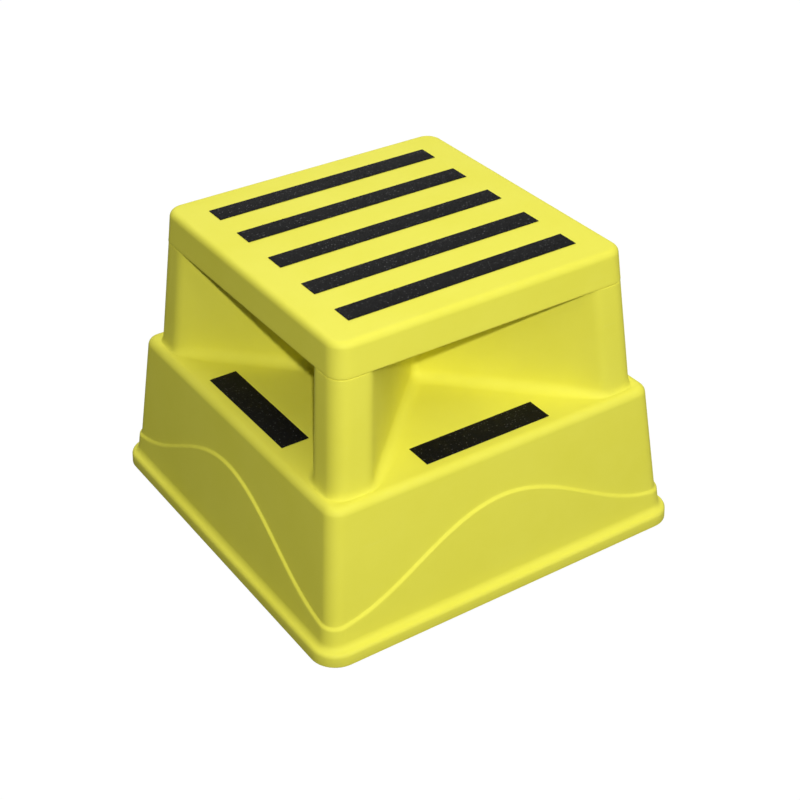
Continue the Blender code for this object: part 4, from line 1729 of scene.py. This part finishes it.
@dataclass
class Feet:
    """Rubber feet: a grooved pad, a stem and a barb above the corner web."""

    sizes: StepSizes
    pad_height: float = 7.5 * MM
    stem: float = 4.7 * MM
    barb: float = 6.6 * MM
    grooves: int = 3
    groove_depth: float = 0.9 * MM
    groove_slope: float = 0.3 * MM
    sole: float = 1.5 * MM
    upper: float = 1.0 * MM

    def build(self, rubber: bpy.types.Material) -> List[bpy.types.Object]:
        """Builds the four feet.

        Args:
            rubber: their material.

        Returns:
            The feet.
        """
        return [self._foot("foot_%d" % number, rubber) for number in range(1, 5)]

    def _foot(self, node: str, rubber: bpy.types.Material) -> bpy.types.Object:
        """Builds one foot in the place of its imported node.

        Args:
            node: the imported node's name.
            rubber: the material.

        Returns:
            The foot.
        """
        low, high, centre = axis_box(node)
        radius = (high.x - low.x) / 2
        floor, pad = low.z, low.z + self.pad_height
        profile = [(0.0, floor)]
        wide = (radius - 2.0 * MM) / (2 * self.grooves + 1)
        for number in range(self.grooves):
            start = wide * (2 * number + 1)
            profile += [(start, floor), (start + self.groove_slope, floor + self.groove_depth),
                        (start + wide - self.groove_slope, floor + self.groove_depth),
                        (start + wide, floor)]
        profile += arc((radius - self.sole, floor + self.sole), self.sole, -90, 0, 4)
        profile += arc((radius - self.upper, pad - self.upper), self.upper, 0, 90, 4)
        web_top = pad + CLEARANCE + self.sizes.wall + CLEARANCE
        profile += [(self.stem, pad), (self.stem, web_top), (self.barb - 0.4 * MM, web_top),
                    (self.barb, web_top + 0.5 * MM), (self.stem * 0.6, high.z - 0.3 * MM),
                    (self.stem * 0.45, high.z), (0.0, high.z)]
        return hand_over(lathe(node + "_looks", profile, centre, 56, 38.0), rubber, node)


# --- Stage ----------------------------------------------------------------------------------------
@dataclass(frozen=True)
class Lamp:
    """A square studio lamp that faces the step."""

    name: str
    azimuth: float
    elevation: float
    level: float
    size: float
    distance: float = 3.0
    aim: float = 0.15

    def hang(self) -> None:
        """Hangs the lamp. Its level is the brightness that it gives a white surface that faces it."""
        data = bpy.data.lights.new(self.name, "AREA")
        data.shape, data.size = "SQUARE", self.size
        data.energy = math.pi ** 2 * self.level * (self.distance ** 2 + self.size ** 2 / math.pi)
        lamp = bpy.data.objects.new(self.name, data)
        bpy.context.scene.collection.objects.link(lamp)
        turn, rise = math.radians(self.azimuth), math.radians(self.elevation)
        way = Vector((math.sin(turn) * math.cos(rise), -math.cos(turn) * math.cos(rise), math.sin(rise)))
        lamp.location = Vector((0.0, 0.0, self.aim)) + way * self.distance
        lamp.rotation_euler = way.to_track_quat("Z", "Y").to_euler()


@dataclass
class Stage:
    """Pale floor, soft lamps and the camera."""

    azimuth: float = -33.5275
    elevation: float = 33.4092
    roll: float = -0.3891
    eye: Tuple[float, float, float] = (-0.80932, -1.23934, 1.09372)
    lens: float = 72.62
    sensor: float = 36.0
    lamps: Tuple[Lamp, ...] = (Lamp("key", -31.2, 35.2, 0.54, 0.06), Lamp("fill", 20.0, 50.0, 0.42, 3.0),
                               Lamp("back", 165.0, 45.0, 0.42, 3.0))
    sky: float = 0.05
    floor_white: float = 1.16
    floor_grey: float = 0.12
    floor_reach: float = 12.0
    floor_share: float = 0.86
    gloss_share: float = 0.4

    def build(self) -> None:
        """Builds the stage."""
        self._floor()
        self._world()
        for lamp in self.lamps:
            lamp.hang()
        self._camera()
        bpy.context.scene.view_settings.view_transform = "Standard"

    def _seen(self, sheet: Sheet) -> bpy.types.NodeSocket:
        """A factor that is 1 for what the camera and clear glass see, and part of it for gloss.

        Args:
            sheet: the material's sheet.

        Returns:
            The factor's socket.
        """
        path = sheet.add("ShaderNodeLightPath")
        gloss = sheet.math("MULTIPLY", path.outputs["Is Glossy Ray"], self.gloss_share)
        clear = sheet.math("MAXIMUM", path.outputs["Is Camera Ray"], path.outputs["Is Transmission Ray"])
        return sheet.math("MAXIMUM", clear, gloss)

    def _floor(self) -> None:
        """Lays a wide floor that looks white and keeps a soft shadow."""
        bm = bmesh.new()
        bmesh.ops.create_grid(bm, x_segments=1, y_segments=1, size=self.floor_reach)
        floor = dress_solid("floor", bm)
        material = bpy.data.materials.new("studio_floor")
        material.use_nodes = True
        sheet = Sheet(material.node_tree)
        sheet.tree.nodes.clear()
        matt = sheet.add("ShaderNodeBsdfDiffuse", {"Color": (self.floor_grey,) * 3 + (1.0,)})
        white = sheet.add("ShaderNodeEmission", {"Color": (1.0, 1.0, 1.0, 1.0), "Strength": self.floor_white})
        share = sheet.math("MULTIPLY", self._seen(sheet), self.floor_share)
        mixed = sheet.add("ShaderNodeMixShader", {0: share, 1: matt.outputs[0], 2: white.outputs[0]})
        sheet.add("ShaderNodeOutputMaterial", {0: mixed.outputs[0]})
        floor.data.materials.append(material)

    def _world(self) -> None:
        """Lights everything evenly and shows white behind the floor."""
        world = bpy.data.worlds.new("studio")
        bpy.context.scene.world = world
        world.use_nodes = True
        sheet = Sheet(world.node_tree)
        sheet.tree.nodes.clear()
        level = sheet.ramp(self._seen(sheet), 0.0, 1.0, self.sky, 1.0)
        back = sheet.add("ShaderNodeBackground", {"Color": (1.0, 1.0, 1.0, 1.0), "Strength": level})
        sheet.add("ShaderNodeOutputWorld", {0: back.outputs[0]})

    def _camera(self) -> None:
        """Sets the camera."""
        az, el, roll = (math.radians(a) for a in (self.azimuth, self.elevation, self.roll))
        back = Vector((math.sin(az) * math.cos(el), -math.cos(az) * math.cos(el), math.sin(el)))
        right = Vector((math.cos(az), math.sin(az), 0.0))
        up = back.cross(right)
        across = math.cos(roll) * right + math.sin(roll) * up
        above = math.cos(roll) * up - math.sin(roll) * right
        data = bpy.data.cameras.new("camera")
        data.lens, data.sensor_width = self.lens, self.sensor
        camera = bpy.data.objects.new("camera", data)
        bpy.context.scene.collection.objects.link(camera)
        facing = Matrix((across, above, back)).transposed().to_4x4()
        camera.matrix_world = Matrix.Translation(self.eye) @ facing
        bpy.context.scene.camera = camera


def main() -> None:
    """Builds every sub-assembly of the step, then its stage."""
    logging.basicConfig(level=logging.INFO, format="%(name)s: %(message)s")
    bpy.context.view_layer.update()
    sizes = StepSizes()
    effects = Effects()
    trees = GeometryTrees()
    yellow = MouldedPlastic("yellow_plastic", (0.875, 0.835, 0.088), 0.70).build(effects)
    grit = Grit("black_grit", (0.003, 0.003, 0.003), 0.65).build(effects)
    steel = ZincPlate("zinc_plate", (0.70, 0.69, 0.65), 0.28).build(effects)
    rubber = Rubber("foot_rubber", (0.018, 0.018, 0.018), 0.72).build(effects)
    BaseMoulding(sizes, trees).build(yellow)
    PlatformMoulding(sizes, trees).build(yellow)
    GripStrips(trees).build(grit)
    Fasteners().build(steel)
    Feet(sizes).build(rubber)
    Stage().build()


if __name__ == "__main__":
    main()
